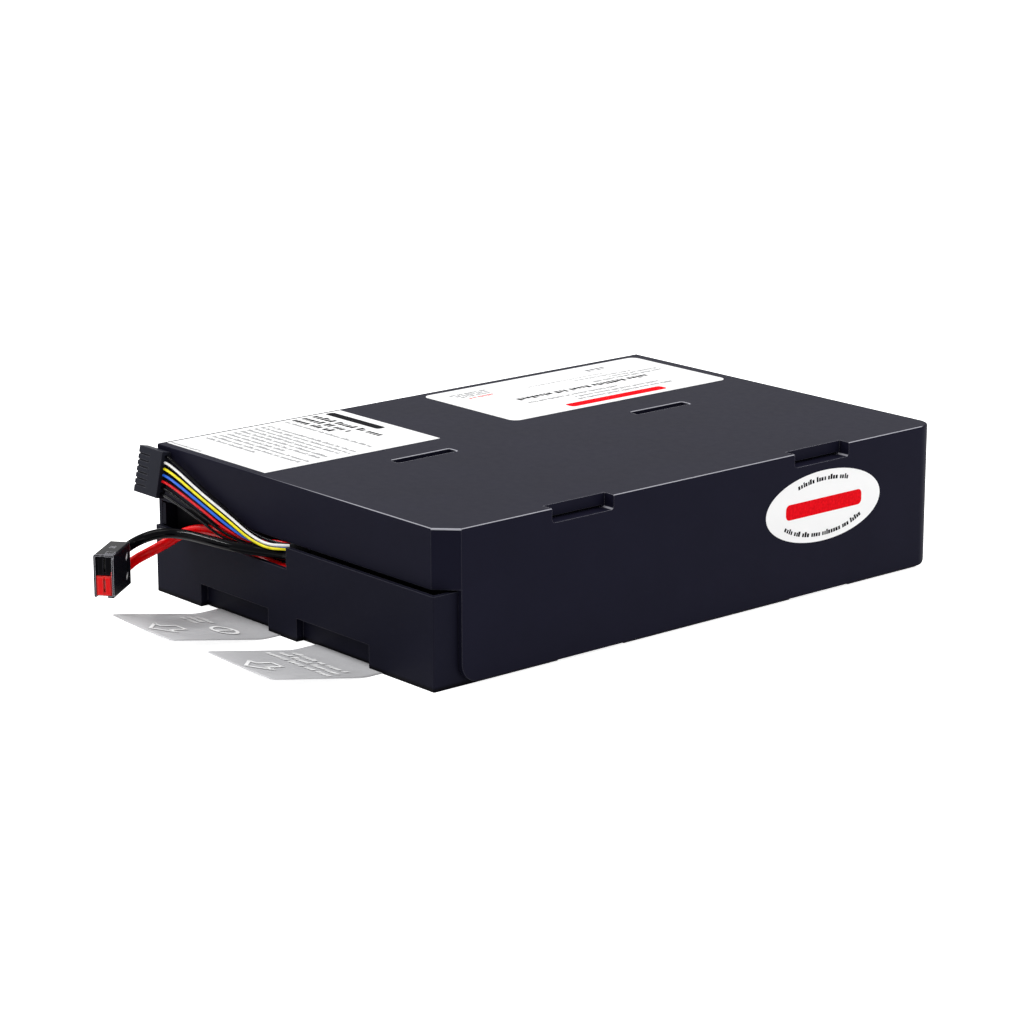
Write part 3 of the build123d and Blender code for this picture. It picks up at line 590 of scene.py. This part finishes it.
def finished_mesh(form, name):
    """The mesh of a form, which is freed."""
    mesh = bpy.data.meshes.new(name)
    form.to_mesh(mesh)
    form.free()
    return mesh


def join_rows(form, rows):
    """Faces between neighbouring rows of points."""
    for first, second in zip(rows, rows[1:]):
        for step in range(len(first) - 1):
            form.faces.new((first[step], first[step + 1], second[step + 1], second[step]))


def add_piece(name, data, materials):
    """Link a finished mesh or curve as a piece of the cartridge."""
    piece = bpy.data.objects.new(name, data)
    bpy.context.scene.collection.objects.link(piece)
    for material in materials:
        data.materials.append(material)
    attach(piece, "root")
    return piece


class PrintSheet:
    """Flat print on a face: fields of ink in the face's own width and height."""

    corner_steps = 4
    # Blocks and gaps of a row, as shares of its height
    block_widths = (0.36, 0.58)
    short_block = 0.72
    block_gap = 0.17
    word_gap = 0.42
    tall_chance = 0.3

    def __init__(self, origin, along, up, lift):
        self.form = bmesh.new()
        self.origin = Vector(origin)
        self.along = Vector(along)
        self.up = Vector(up)
        self.raise_by = self.along.cross(self.up) * lift

    def place(self, point):
        """A point of the face's own width and height, in space."""
        return self.origin + self.along * point[0] + self.up * point[1] + self.raise_by

    def field(self, outline, ink):
        """A field of ink inside an outline that runs counter-clockwise."""
        corners = [self.form.verts.new(self.place(point)) for point in outline]
        face = self.form.faces.new(corners)
        face.material_index = ink

    def bar(self, left, low, width, height, ink, radius=0.0):
        """A bar with round corners, or with square ones."""
        if not radius:
            right, high = left + width, low + height
            self.field([(left, low), (right, low), (right, high), (left, high)], ink)
            return
        outline = []
        for turn, x, y in (
            (-0.5, left + width - radius, low + radius),
            (0.0, left + width - radius, low + height - radius),
            (0.5, left + radius, low + height - radius),
            (1.0, left + radius, low + radius),
        ):
            for step in range(self.corner_steps + 1):
                angle = (turn + step / (2 * self.corner_steps)) * math.pi
                outline.append((x + radius * math.cos(angle), y + radius * math.sin(angle)))
        self.field(outline, ink)

    def block_height(self, chance, height):
        """The row's full height for some blocks, and less for the others."""
        return height if chance.random() < self.tall_chance else self.short_block * height

    def row(self, left, low, length, height, ink, seed):
        """A row of small blocks in groups, as wide and tall as a line of print."""
        chance = random.Random(seed)
        place = left
        while place < left + length:
            for _ in range(chance.randint(2, 8)):
                width = height * chance.uniform(*self.block_widths)
                if place + width > left + length:
                    return
                self.bar(place, low, width, self.block_height(chance, height), ink)
                place += width + self.block_gap * height
            place += self.word_gap * height

    def arc_row(self, radii, first, last, height, ink, seed):
        """A row of small blocks along an ellipse, from one angle in degrees to another."""
        chance = random.Random(seed)
        angle, last = math.radians(first), math.radians(last)
        direction = 1 if last > angle else -1
        left_in_group = chance.randint(3, 8)
        while (last - angle) * direction > 0:
            base = Vector((radii[0] * math.cos(angle), radii[1] * math.sin(angle)))
            tangent = Vector((-radii[0] * math.sin(angle), radii[1] * math.cos(angle)))
            speed = tangent.length
            tangent = tangent.normalized() * direction
            rise = Vector((-tangent.y, tangent.x))
            width = height * chance.uniform(*self.block_widths)
            top = rise * self.block_height(chance, height)
            half = tangent * width / 2
            self.field([base - half, base + half, base + half + top, base - half + top], ink)
            gap = self.block_gap * height
            left_in_group -= 1
            if not left_in_group:
                gap += self.word_gap * height
                left_in_group = chance.randint(3, 8)
            angle += direction * (width + gap) / speed

    def finish(self, name, inks):
        """Make the print a piece of the cartridge."""
        add_piece(name, finished_mesh(self.form, name), inks)


def settings(name):
    """One group of the scene's cartridge settings."""
    return getattr(bpy.context.scene, name)


class CARTRIDGE_OT_studio(Operator):
    """Set up the camera, lamps, sky and floor"""

    bl_idname = "cartridge.studio"
    bl_label = "Studio"

    # Name, place, width and height of each lamp, and the setting of its power
    lamps = (
        ("key_strip", (-0.95, -0.40, 0.82), (0.9, 0.06), "key_power"),
        ("rim_strip", (0.35, 0.95, 1.00), (0.9, 0.08), "rim_power"),
        ("overhead_panel", (-0.15, -0.35, 1.30), (0.6, 0.6), "overhead_power"),
        ("fill_panel", (1.25, 0.35, 0.55), (0.9, 0.9), "fill_power"),
    )
    sensor_width = 36.0
    sight_end = 50.0
    white = (1.0, 1.0, 1.0, 1.0)
    floor_colour = (0.88, 0.88, 0.88, 1.0)
    floor_half_width = 12.0
    floor_drop = 0.00002

    def execute(self, context):
        stage = settings("cartridge_studio")
        scene = context.scene
        scene.view_settings.view_transform = "Standard"
        self.add_camera(scene, stage)
        for name, place, size, power in self.lamps:
            self.add_lamp(name, place, size, getattr(stage, power))
        self.add_sky(scene, stage)
        self.add_floor(stage)
        return {"FINISHED"}

    def add_camera(self, scene, stage):
        """The camera that sees the cartridge from in front, at the right and above."""
        data = bpy.data.cameras.new("camera")
        data.lens = stage.lens
        data.sensor_width = self.sensor_width
        data.clip_end = self.sight_end
        camera = bpy.data.objects.new("camera", data)
        scene.collection.objects.link(camera)
        turn = Matrix.Rotation(stage.camera_turn, 4, "Z")
        tilt = Matrix.Rotation(math.pi / 2 - stage.camera_rise, 4, "X")
        roll = Matrix.Rotation(stage.camera_roll, 4, "Z")
        camera.matrix_world = Matrix.Translation(stage.camera_place) @ turn @ tilt @ roll
        scene.camera = camera

    def add_lamp(self, name, place, size, power):
        """An area lamp that faces the middle of the case."""
        data = bpy.data.lights.new(name, "AREA")
        data.shape = "RECTANGLE"
        data.size, data.size_y = size
        data.energy = power
        lamp = bpy.data.objects.new(name, data)
        bpy.context.scene.collection.objects.link(lamp)
        low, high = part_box("lower_tray")
        view = (low + high) / 2 - Vector(place)
        turn = view.to_track_quat("-Z", "Y").to_matrix().to_4x4()
        lamp.matrix_world = Matrix.Translation(place) @ turn

    def add_sky(self, scene, stage):
        """A sky that is seen white, and lights the cartridge less strongly."""
        world = bpy.data.worlds.new("studio_sky")
        world.use_nodes = True
        scene.world = world
        tree = world.node_tree
        tree.nodes.clear()
        light = add_node(
            tree, "ShaderNodeBackground", {"Color": self.white, "Strength": stage.sky_level}
        )
        seen = add_node(tree, "ShaderNodeBackground", {"Color": self.white, "Strength": 1.0})
        choice = choose_for_sight(tree, light, seen)
        add_node(tree, "ShaderNodeOutputWorld", sources={"Surface": choice})

    def add_floor(self, stage):
        """A wide floor that is seen white, apart from the shadow that it takes."""
        form = bmesh.new()
        bmesh.ops.create_grid(form, x_segments=2, y_segments=2, size=self.floor_half_width)
        mesh = finished_mesh(form, "floor")
        floor = bpy.data.objects.new("floor", mesh)
        floor.location.z = -self.floor_drop
        bpy.context.scene.collection.objects.link(floor)
        material = bpy.data.materials.new("white_floor")
        material.use_nodes = True
        tree = material.node_tree
        tree.nodes.clear()
        paint = add_node(tree, "ShaderNodeBsdfDiffuse", {"Color": self.floor_colour})
        glow = add_node(tree, "ShaderNodeEmission", {"Strength": stage.floor_glow})
        dark = add_node(tree, "ShaderNodeEmission", {"Strength": 0.0})
        choice = choose_for_sight(tree, dark, glow)
        total = add_node(tree, "ShaderNodeAddShader", sources={0: paint.outputs[0], 1: choice})
        add_node(tree, "ShaderNodeOutputMaterial", sources={"Surface": total.outputs[0]})
        mesh.materials.append(material)


def choose_for_sight(tree, unseen, seen):
    """The seen shader for rays from the camera, a gloss or a clear piece, or else the unseen."""
    path = add_node(tree, "ShaderNodeLightPath").outputs
    sight = path["Is Camera Ray"]
    for ray in ("Is Glossy Ray", "Is Transmission Ray"):
        sight = add_node(
            tree, "ShaderNodeMath", sources={0: sight, 1: path[ray]}, operation="MAXIMUM"
        ).outputs[0]
    choice = add_node(
        tree, "ShaderNodeMixShader",
        sources={"Fac": sight, 1: unseen.outputs[0], 2: seen.outputs[0]},
    )
    return choice.outputs[0]


def lay_cord(name, route, diameter, smoothness, material):
    """A round cord along one smooth spline, from the outlet to its connector."""
    curve = bpy.data.curves.new(name, "CURVE")
    curve.dimensions = "3D"
    curve.resolution_u = smoothness
    curve.bevel_depth = diameter / 2
    curve.bevel_resolution = 7
    curve.use_fill_caps = True
    spline = curve.splines.new("NURBS")
    spline.points.add(len(route) - 1)
    for point, place in zip(spline.points, reversed(route)):
        point.co = (*place, 1.0)
    spline.order_u = 3
    spline.use_endpoint_u = True
    spline.resolution_u = smoothness
    cord = add_piece(name + "_jacket", curve, [material])
    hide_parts(name)
    return cord


class CARTRIDGE_OT_power_cables(Operator):
    """Lay the black and red power cables from the outlet to their connector"""

    bl_idname = "cartridge.power_cables"
    bl_label = "Power Cables"

    def execute(self, context):
        leads = settings("cartridge_leads")
        jackets = {
            "power_cable_black": (
                glossy_jacket("black_cable_jacket", leads.black, roughness=0.10, gloss=0.05),
                "black_cable",
            ),
            "power_cable_red": (
                glossy_jacket("red_cable_jacket", leads.red, roughness=0.26), "red_cable"
            ),
        }
        for name, route in POWER_ROUTES.items():
            material, slot = jackets[name]
            cord = lay_cord(name, route, leads.power_diameter, leads.smoothness, material)
        return {"FINISHED"}


class CARTRIDGE_OT_sense_wires(Operator):
    """Lay the seven thin sense wires from the outlet to their connector"""

    bl_idname = "cartridge.sense_wires"
    bl_label = "Sense Wires"

    def execute(self, context):
        leads = settings("cartridge_leads")
        black = glossy_jacket("black_wire_jacket", leads.black, roughness=0.12, gloss=0.05)
        jackets = {f"sense_wire_black_{number}": (black, "wire_black") for number in (1, 2, 3)}
        for colour in ("white", "yellow", "blue", "red"):
            slot = f"wire_{colour}"
            jacket = glossy_jacket(f"{colour}_wire_jacket", getattr(leads, slot))
            jackets[f"sense_{slot}"] = (jacket, slot)
        for name, route in SENSE_ROUTES.items():
            material, slot = jackets[name]
            cord = lay_cord(name, route, leads.wire_diameter, leads.smoothness, material)
        return {"FINISHED"}


class CARTRIDGE_OT_case(Operator):
    """Finish the moulded cover and tray"""

    bl_idname = "cartridge.case"
    bl_label = "Case"

    slot_x = -4.4 * MM
    slot_places = (79.9 * MM, 232.1 * MM)
    slot_size = (5.8 * MM, 35.5 * MM)
    slot_corner = 1.0 * MM
    corner_steps = 6
    lip_width = 0.9 * MM
    lip_rise = 0.14 * MM

    def execute(self, context):
        case = settings("cartridge_case")
        # Both finishes paint shade at the foot of the walls; the cover also gets painted highlights
        # on its rim and top edges
        cover = moulded_plastic(
            "cover_black", case.cover_colour, case.roughness, case.gloss, case.edge_highlight_colour,
            case.rim_highlight_colour, case.foot_shade_colour,
        )
        tray = moulded_plastic(
            "tray_black", case.tray_colour, case.roughness + 0.04, case.gloss,
            case.edge_highlight_colour, foot_shade_colour=case.foot_shade_colour,
        )
        set_finish(cover, "upper_cover")
        set_finish(tray, "lower_tray")
        # The lips take the painted rim highlight as their colour, lighter than the cover
        lip = moulded_plastic(
            "lip_black", case.rim_highlight_colour, case.roughness, case.gloss, case.rim_highlight_colour
        )
        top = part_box("upper_cover")[1].z
        for y in self.slot_places:
            self.add_slot_lip(Vector((self.slot_x, y, top)), lip)
        return {"FINISHED"}

    def add_slot_lip(self, centre, material):
        """A low lip along the left side and round the rear end of a slot in the top, coloured with
        the painted rim highlight.
        """
        form = bmesh.new()
        half_width, half_length = self.slot_size[0] / 2, self.slot_size[1] / 2
        radius = self.slot_corner
        middle_y = half_length - radius
        path = [((-half_width, -half_length + radius), (-1.0, 0.0))]
        for middle_x, start in ((radius - half_width, math.pi), (half_width - radius, math.pi / 2)):
            for step in range(self.corner_steps + 1):
                angle = start - step / self.corner_steps * math.pi / 2
                side = (math.cos(angle), math.sin(angle))
                path.append(((middle_x + radius * side[0], middle_y + radius * side[1]), side))
        drop = Vector((0.0, 0.0, -self.lip_rise))
        rows = []
        for (x, y), (side_x, side_y) in path:
            inner = centre + Vector((x, y, self.lip_rise))
            outer = inner + Vector((side_x, side_y, 0.0)) * self.lip_width
            section = (inner + drop, inner, outer, outer + drop)
            rows.append([form.verts.new(spot) for spot in section])
        join_rows(form, rows)
        add_piece("slot_lip", finished_mesh(form, "slot_lip"), [material])


class CARTRIDGE_OT_labels(Operator):
    """Finish the three labels and print plain bars and rows on them"""

    bl_idname = "cartridge.labels"
    bl_label = "Labels"

    # Where the front print's own corner lies, from the label's
    front_print_shift = (-1.8 * MM, -1.4 * MM)
    row_height = 2.5 * MM

    def execute(self, context):
        label = settings("cartridge_labels")
        set_finish(
            label_film("label_film", label.paper_colour), "label_front", "label_rear", "label_side"
        )
        inks = [
            printed_ink(name, getattr(label, name)) for name in ("dark_ink", "grey_ink", "red_ink")
        ]
        self.print_front(label, inks)
        self.print_rear(label, inks)
        self.print_side(label, inks)
        return {"FINISHED"}

    def print_front(self, label, inks):
        """Rows across the front label, under a heading at its rear edge."""
        low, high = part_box("label_front")
        shift_x, shift_y = self.front_print_shift
        corner = (low.x + shift_x, low.y + shift_y, high.z)
        sheet = PrintSheet(corner, (1, 0, 0), (0, 1, 0), label.print_lift)
        sheet.bar(3.6 * MM, 94.6 * MM, 42.5 * MM, 5.4 * MM, DARK, 1.8 * MM)
        for index, (place, length) in enumerate(((86.0, 53.5), (79.6, 39.0), (73.6, 33.0))):
            sheet.row(4.2 * MM, place * MM, length * MM, 4.6 * MM, DARK, 11 + index)
        sheet.row(4.6 * MM, 69.0 * MM, 69.0 * MM, 2.2 * MM, GREY, 21)
        lengths = (70, 71, 68, 55, 70, 69, 47, 71, 69, 40)
        for index, length in enumerate(lengths):
            place = 57.2 - 4.1 * index
            sheet.row(6.2 * MM, place * MM, length * MM, 2.3 * MM, GREY, 31 + index)
        sheet.row(3.2 * MM, 2.6 * MM, 24.0 * MM, 1.8 * MM, GREY, 51)
        sheet.finish("label_front_print", inks)

    def print_rear(self, label, inks):
        """Rows along the rear label, with a red bar at its inner edge."""
        low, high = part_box("label_rear")
        sheet = PrintSheet((low.x, high.y, high.z), (0, -1, 0), (1, 0, 0), label.print_lift)
        sheet.bar(38.1 * MM, 60.8 * MM, 65.4 * MM, 6.8 * MM, RED, 2.2 * MM)
        # Left, up, length and height in mm, and the ink
        rows = (
            (25.0, 55.0, 66.0, 2.4, GREY), (30.0, 50.4, 58.0, 2.4, GREY),
            (54.0, 45.2, 62.0, 2.4, GREY), (25.0, 35.4, 91.0, 4.4, DARK),
            (9.0, 30.4, 48.0, 2.2, GREY), (9.0, 26.6, 34.0, 2.0, GREY),
            (24.0, 22.8, 40.0, 1.6, GREY), (115.0, 18.2, 16.0, 2.2, RED),
            (114.0, 14.4, 20.0, 2.1, GREY), (113.0, 11.4, 22.0, 2.1, GREY),
            (112.0, 8.4, 24.0, 2.1, GREY), (40.0, 18.6, 52.0, 1.2, GREY),
        )
        for index, (left, up, length, height, ink) in enumerate(rows):
            sheet.row(left * MM, up * MM, length * MM, height * MM, ink, 61 + index)
        for index in range(4):
            sheet.bar((30.0 + 3.4 * index) * MM, 7.6 * MM, 2.2 * MM, (3 + index % 2) * MM, GREY)
        sheet.finish("label_rear_print", inks)

    def print_side(self, label, inks):
        """A red bar between two curved rows on the oval label."""
        low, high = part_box("label_side")
        middle = (low + high) / 2
        sheet = PrintSheet((high.x, middle.y, middle.z), (0, 1, 0), (0, 0, 1), label.print_lift)
        half_width = (high.y - low.y) / 2
        half_height = (high.z - low.z) / 2
        sheet.bar(-25.6 * MM, -3.6 * MM, 51.6 * MM, 7.6 * MM, RED, 2.4 * MM)
        upper = (half_width - 8.0 * MM, half_height - 5.0 * MM)
        sheet.arc_row(upper, 123, 57, self.row_height, DARK, 81)
        lower = (half_width - 6.4 * MM, half_height - 2.6 * MM)
        sheet.arc_row(lower, -144, -36, self.row_height, DARK, 82)
        sheet.finish("label_side_print", inks)


def film_height(y, fold_y, rise, radius):
    """Height of a pull tab's middle above the ground, from its place along Y."""
    bend = radius * math.tan(rise / 2)
    if y >= fold_y + bend:
        return 0.0
    if y <= fold_y - bend * math.cos(rise):
        return (fold_y - y) * math.tan(rise)
    run = fold_y + bend - y
    return radius - math.sqrt(radius**2 - run**2)


class CARTRIDGE_OT_pull_tabs(Operator):
    """Fold the two grey pull tabs and print an arrow and rows on them"""

    bl_idname = "cartridge.pull_tabs"
    bl_label = "Pull Tabs"

    film_thickness = 0.3 * MM
    fold_y = -13.5 * MM
    rise = math.radians(10.4)
    skew = 1.5 * MM
    curl = 0.4 * MM
    end_gap = 0.1 * MM
    flat_step = 30.0 * MM
    bend_start = 12.0 * MM
    steps_across = 20
    steps_along = 36
    solid_share = 0.98
    print_rise = 0.4 * MM
    arrow_line = 1.6 * MM
    # Outline of the arrow in mm, from its tip
    arrow_shape = (
        (0.0, 0.0), (8.8, 8.3), (3.9, 8.3), (3.9, 16.8), (-3.9, 16.8), (-3.9, 8.3), (-8.8, 8.3),
    )
    # The round sign: its middle, its outer and inner radii, in mm
    ring_middle = Vector((-24.0, -23.0))
    ring_outer = (8.0, 6.4)
    ring_inner = (6.3, 4.6)
    ring_steps = 28

    def execute(self, context):
        tab = settings("cartridge_pull_tabs")
        film = pull_film("grey_film", tab.film_colour)
        ink = printed_ink("tab_print", tab.print_colour)
        for name in ("pull_tab_left", "pull_tab_right"):
            self.add_film(name, tab, film)
        self.print_left(tab, ink)
        self.print_right(tab, ink)
        return {"FINISHED"}

    def height(self, y, tab):
        """Height of the film's middle at a place along Y."""
        return film_height(y, self.fold_y, self.rise, tab.fold_radius) + self.film_thickness / 2

    def add_film(self, name, tab, material):
        """A thin folded strip with round free corners."""
        low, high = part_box(name)
        low_y, high_y = low.y + self.end_gap, high.y - self.end_gap
        along = [high_y - step * self.flat_step for step in range(3)]
        start = self.fold_y + self.bend_start
        for step in range(self.steps_along + 1):
            along.append(start + (low_y - start) * step / self.steps_along)
        form = bmesh.new()
        rows = []
        for y in along:
            inset = 0.0
            if y < low_y + tab.corner_radius:
                drop = low_y + tab.corner_radius - y
                inset = tab.corner_radius - math.sqrt(max(0.0, tab.corner_radius**2 - drop**2))
            left, right = low.x + inset, high.x - inset
            row = []
            free = max(0.0, min(1.0, (self.fold_y - y) / (self.fold_y - low_y)))
            for step in range(self.steps_across + 1):
                share = step / self.steps_across
                curl = self.curl * (2 * share - 1) ** 2 * free
                slip = self.skew * (1 - 2 * share) * free
                place = (left + (right - left) * share, y + slip, self.height(y + slip, tab) + curl)
                row.append(form.verts.new(place))
            rows.append(row)
        join_rows(form, rows[::-1])
        for face in form.faces:
            face.smooth = True
        bmesh.ops.recalc_face_normals(form, faces=form.faces)
        thickness = self.film_thickness * self.solid_share
        bmesh.ops.solidify(form, geom=form.faces[:], thickness=thickness)
        mesh = finished_mesh(form, name + "_film")
        shift = low.z - min(vertex.co.z for vertex in mesh.vertices)
        mesh.transform(Matrix.Translation((0, 0, shift)))
        mesh.update()
        film = add_piece(name + "_film", mesh, [material])
        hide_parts(name)

    def drape(self, sheet, tab):
        """Lay flat print onto the film's upper side."""
        for vertex in sheet.form.verts:
            top = self.height(vertex.co.y, tab) + self.film_thickness / 2
            vertex.co.z += top + self.print_rise

    def arrow(self, sheet, middle, tip):
        """An outlined arrow that points away from the case."""
        points = [Vector((middle + x * MM, tip + y * MM)) for x, y in self.arrow_shape]
        for first, second in zip(points, points[1:] + points[:1]):
            run = (second - first).normalized() * self.arrow_line / 2
            side = Vector((-run.y, run.x))
            corners = [
                first - run - side, second + run - side, second + run + side, first - run + side,
            ]
            sheet.field(corners, TAB_INK)

    def ring_point(self, step, radii):
        """A point on the round sign, from its step round the ring."""
        angle = step * 2 * math.pi / self.ring_steps
        reach = Vector((math.cos(angle) * radii[0], math.sin(angle) * radii[1]))
        return (self.ring_middle + reach) * MM

    def print_left(self, tab, ink):
        """An arrow, three short rows and a round sign."""
        sheet = PrintSheet((0, 0, 0), (1, 0, 0), (0, 1, 0), 0.0)
        self.arrow(sheet, -31.2 * MM, -58.9 * MM)
        for index in range(3):
            place = -28.8 + 4.4 * index
            sheet.row(-52.0 * MM, place * MM, 14.0 * MM, 3.2 * MM, TAB_INK, 91 + index)
        for step in range(self.ring_steps):
            corners = [
                self.ring_point(step, self.ring_outer),
                self.ring_point(step + 1, self.ring_outer),
                self.ring_point(step + 1, self.ring_inner),
                self.ring_point(step, self.ring_inner),
            ]
            sheet.field(corners, TAB_INK)
        sheet.bar(-24.8 * MM, -27.6 * MM, 1.7 * MM, 9.2 * MM, TAB_INK)
        self.drape(sheet, tab)
        sheet.finish("pull_tab_left_print", [ink])

    def print_right(self, tab, ink):
        """An arrow under three long rows."""
        sheet = PrintSheet((0, 0, 0), (1, 0, 0), (0, 1, 0), 0.0)
        self.arrow(sheet, 43.1 * MM, -59.5 * MM)
        for index, length in enumerate((46.0, 43.0, 38.0)):
            place = -32.8 + 6.6 * index
            left = 20.6 + index
            sheet.row(left * MM, place * MM, length * MM, 3.9 * MM, TAB_INK, 101 + index)
        self.drape(sheet, tab)
        sheet.finish("pull_tab_right_print", [ink])


class CARTRIDGE_OT_connectors(Operator):
    """Finish the power connector and the sense connector"""

    bl_idname = "cartridge.connectors"
    bl_label = "Connectors"

    shell_nose = (-63.61 * MM, -61.77 * MM, 16.5 * MM)
    shell_turn = math.radians(38)
    face_place = 4.95 * MM
    window_place = 18.8 * MM
    window_heights = (22.08 * MM, 31.43 * MM)
    window_turn = math.radians(55)
    catch_size = (2.6 * MM, 0.7 * MM)
    catch_inset = 0.12 * MM
    catch_bow = 0.3 * MM
    catch_thickness = 0.15 * MM

    def execute(self, context):
        leads = settings("cartridge_leads")
        case = settings("cartridge_case")
        # The edge colours below are painted highlights, lightest on the shell and the red housing
        shell = moulded_plastic(
            "power_shell_black", (0.004, 0.004, 0.006), roughness=0.25, gloss=0.045,
            edge_highlight_colour=(0.55, 0.55, 0.60), edge_radius=0.55 * MM,
        )
        black = moulded_plastic(
            "power_housing_black", (0.001, 0.001, 0.002), roughness=0.25, gloss=0.03,
            edge_highlight_colour=(0.05, 0.05, 0.06),
        )
        sense = moulded_plastic(
            "sense_connector_black", (0.012, 0.013, 0.020), roughness=0.42, gloss=0.05,
            edge_highlight_colour=case.edge_highlight_colour,
        )
        red = moulded_plastic(
            "power_housing_red", leads.red, roughness=0.25, gloss=0.12,
            edge_highlight_colour=(1.0, 0.12, 0.10),
        )
        metal = tinned_metal("connector_contacts", (0.66, 0.65, 0.62))
        set_finish(shell, "power_connector_shell")
        set_finish(black, "power_housing_black")
        set_finish(red, "power_housing_red")
        set_finish(sense, "sense_connector_housing")
        set_finish(metal, "power_contact_black", "power_contact_red", "sense_contacts")
        # Painted highlight: the catches are white to stand in for the glints in the windows
        glint_white = glossy_jacket("catch_nylon", (0.86, 0.86, 0.85), roughness=0.3, gloss=0.4)
        for height in self.window_heights:
            self.add_catch(height, glint_white)
        return {"FINISHED"}

    def add_catch(self, height, material):
        """A bowed catch in a slanted window of the shell, coloured white as a painted glint in the
        window.
        """
        right = Vector((math.cos(self.shell_turn), math.sin(self.shell_turn), 0.0))
        back = Vector((-right.y, right.x, 0.0))
        rise = Vector((0.0, 0.0, 1.0))
        long_way = back * math.cos(self.window_turn) + rise * math.sin(self.window_turn)
        short_way = rise * math.cos(self.window_turn) - back * math.sin(self.window_turn)
        middle = Vector(self.shell_nose) + right * self.face_place + back * self.window_place
        middle.z = height
        form = bmesh.new()
        rows = []
        for step in range(9):
            share = step / 4 - 1
            spot = middle + long_way * share * self.catch_size[0] / 2
            spot -= right * (self.catch_inset + self.catch_bow * share**2)
            half = short_way * self.catch_size[1] / 2
            rows.append([form.verts.new(spot + half), form.verts.new(spot - half)])
        join_rows(form, rows)
        bmesh.ops.recalc_face_normals(form, faces=form.faces)
        bmesh.ops.solidify(form, geom=form.faces[:], thickness=self.catch_thickness)
        add_piece("window_catch", finished_mesh(form, "window_catch"), [material])


class CARTRIDGE_OT_inside(Operator):
    """Finish the batteries, terminals, jumpers and wiring inside the case"""

    bl_idname = "cartridge.inside"
    bl_label = "Inside"

    def execute(self, context):
        leads = settings("cartridge_leads")
        finishes = {
            "battery_": battery_case("battery_black", (0.003, 0.003, 0.004)),
            "terminal_": tinned_metal("terminal_tin", (0.62, 0.62, 0.60)),
            "receptacle_": glossy_jacket("receptacle_nylon", (0.60, 0.61, 0.58), roughness=0.4),
            "series_jumper_rear": glossy_jacket("jumper_black", leads.black),
            "series_jumper_left": glossy_jacket("jumper_red", leads.red, roughness=0.30),
            "series_jumper_right": glossy_jacket("jumper_red_right", leads.red, roughness=0.30),
            "power_lead_black": glossy_jacket("inner_lead_black", leads.black),
            "power_lead_red": glossy_jacket("inner_lead_red", leads.red, roughness=0.30),
            "sense_wire_sleeve": wound_tape("sleeve_tape", (0.016, 0.016, 0.018)),
            "sense_branch_": glossy_jacket("branch_jacket", leads.black),
            "thermistor": glossy_jacket("thermistor_epoxy", (0.02, 0.02, 0.022), roughness=0.15),
            "foam_strips_": open_foam("foam_grey", (0.045, 0.045, 0.048)),
        }
        for start, material in finishes.items():
            found = [name for name in NODES if name.startswith(start)]
            if not found:
                raise RuntimeError(f"no node starts with {start}")
            set_finish(material, *found)
        return {"FINISHED"}


STEPS = (
    "studio", "power_cables", "sense_wires", "case", "labels", "pull_tabs", "connectors", "inside",
)


class CARTRIDGE_PT_steps(Panel):
    """Buttons for each part of the cartridge"""

    bl_idname = "CARTRIDGE_PT_steps"
    bl_label = "Battery Cartridge"
    bl_space_type = "VIEW_3D"
    bl_region_type = "UI"
    bl_category = "Cartridge"

    def draw(self, context):
        for step in STEPS:
            self.layout.operator(f"cartridge.{step}")


SETTINGS = {
    "cartridge_studio": CartridgeStudioSettings,
    "cartridge_case": CartridgeCaseSettings,
    "cartridge_labels": CartridgeLabelSettings,
    "cartridge_pull_tabs": CartridgePullTabSettings,
    "cartridge_leads": CartridgeLeadSettings,
}
CLASSES = (
    *SETTINGS.values(),
    CARTRIDGE_OT_studio,
    CARTRIDGE_OT_power_cables,
    CARTRIDGE_OT_sense_wires,
    CARTRIDGE_OT_case,
    CARTRIDGE_OT_labels,
    CARTRIDGE_OT_pull_tabs,
    CARTRIDGE_OT_connectors,
    CARTRIDGE_OT_inside,
    CARTRIDGE_PT_steps,
)


def register():
    for item in CLASSES:
        bpy.utils.register_class(item)
    for name, group in SETTINGS.items():
        setattr(bpy.types.Scene, name, PointerProperty(type=group))


def unregister():
    for name in SETTINGS:
        delattr(bpy.types.Scene, name)
    for item in reversed(CLASSES):
        bpy.utils.unregister_class(item)


def main():
    """Make every piece in order."""
    register()
    for step in STEPS:
        getattr(bpy.ops.cartridge, step)()


if __name__ == "__main__":
    main()
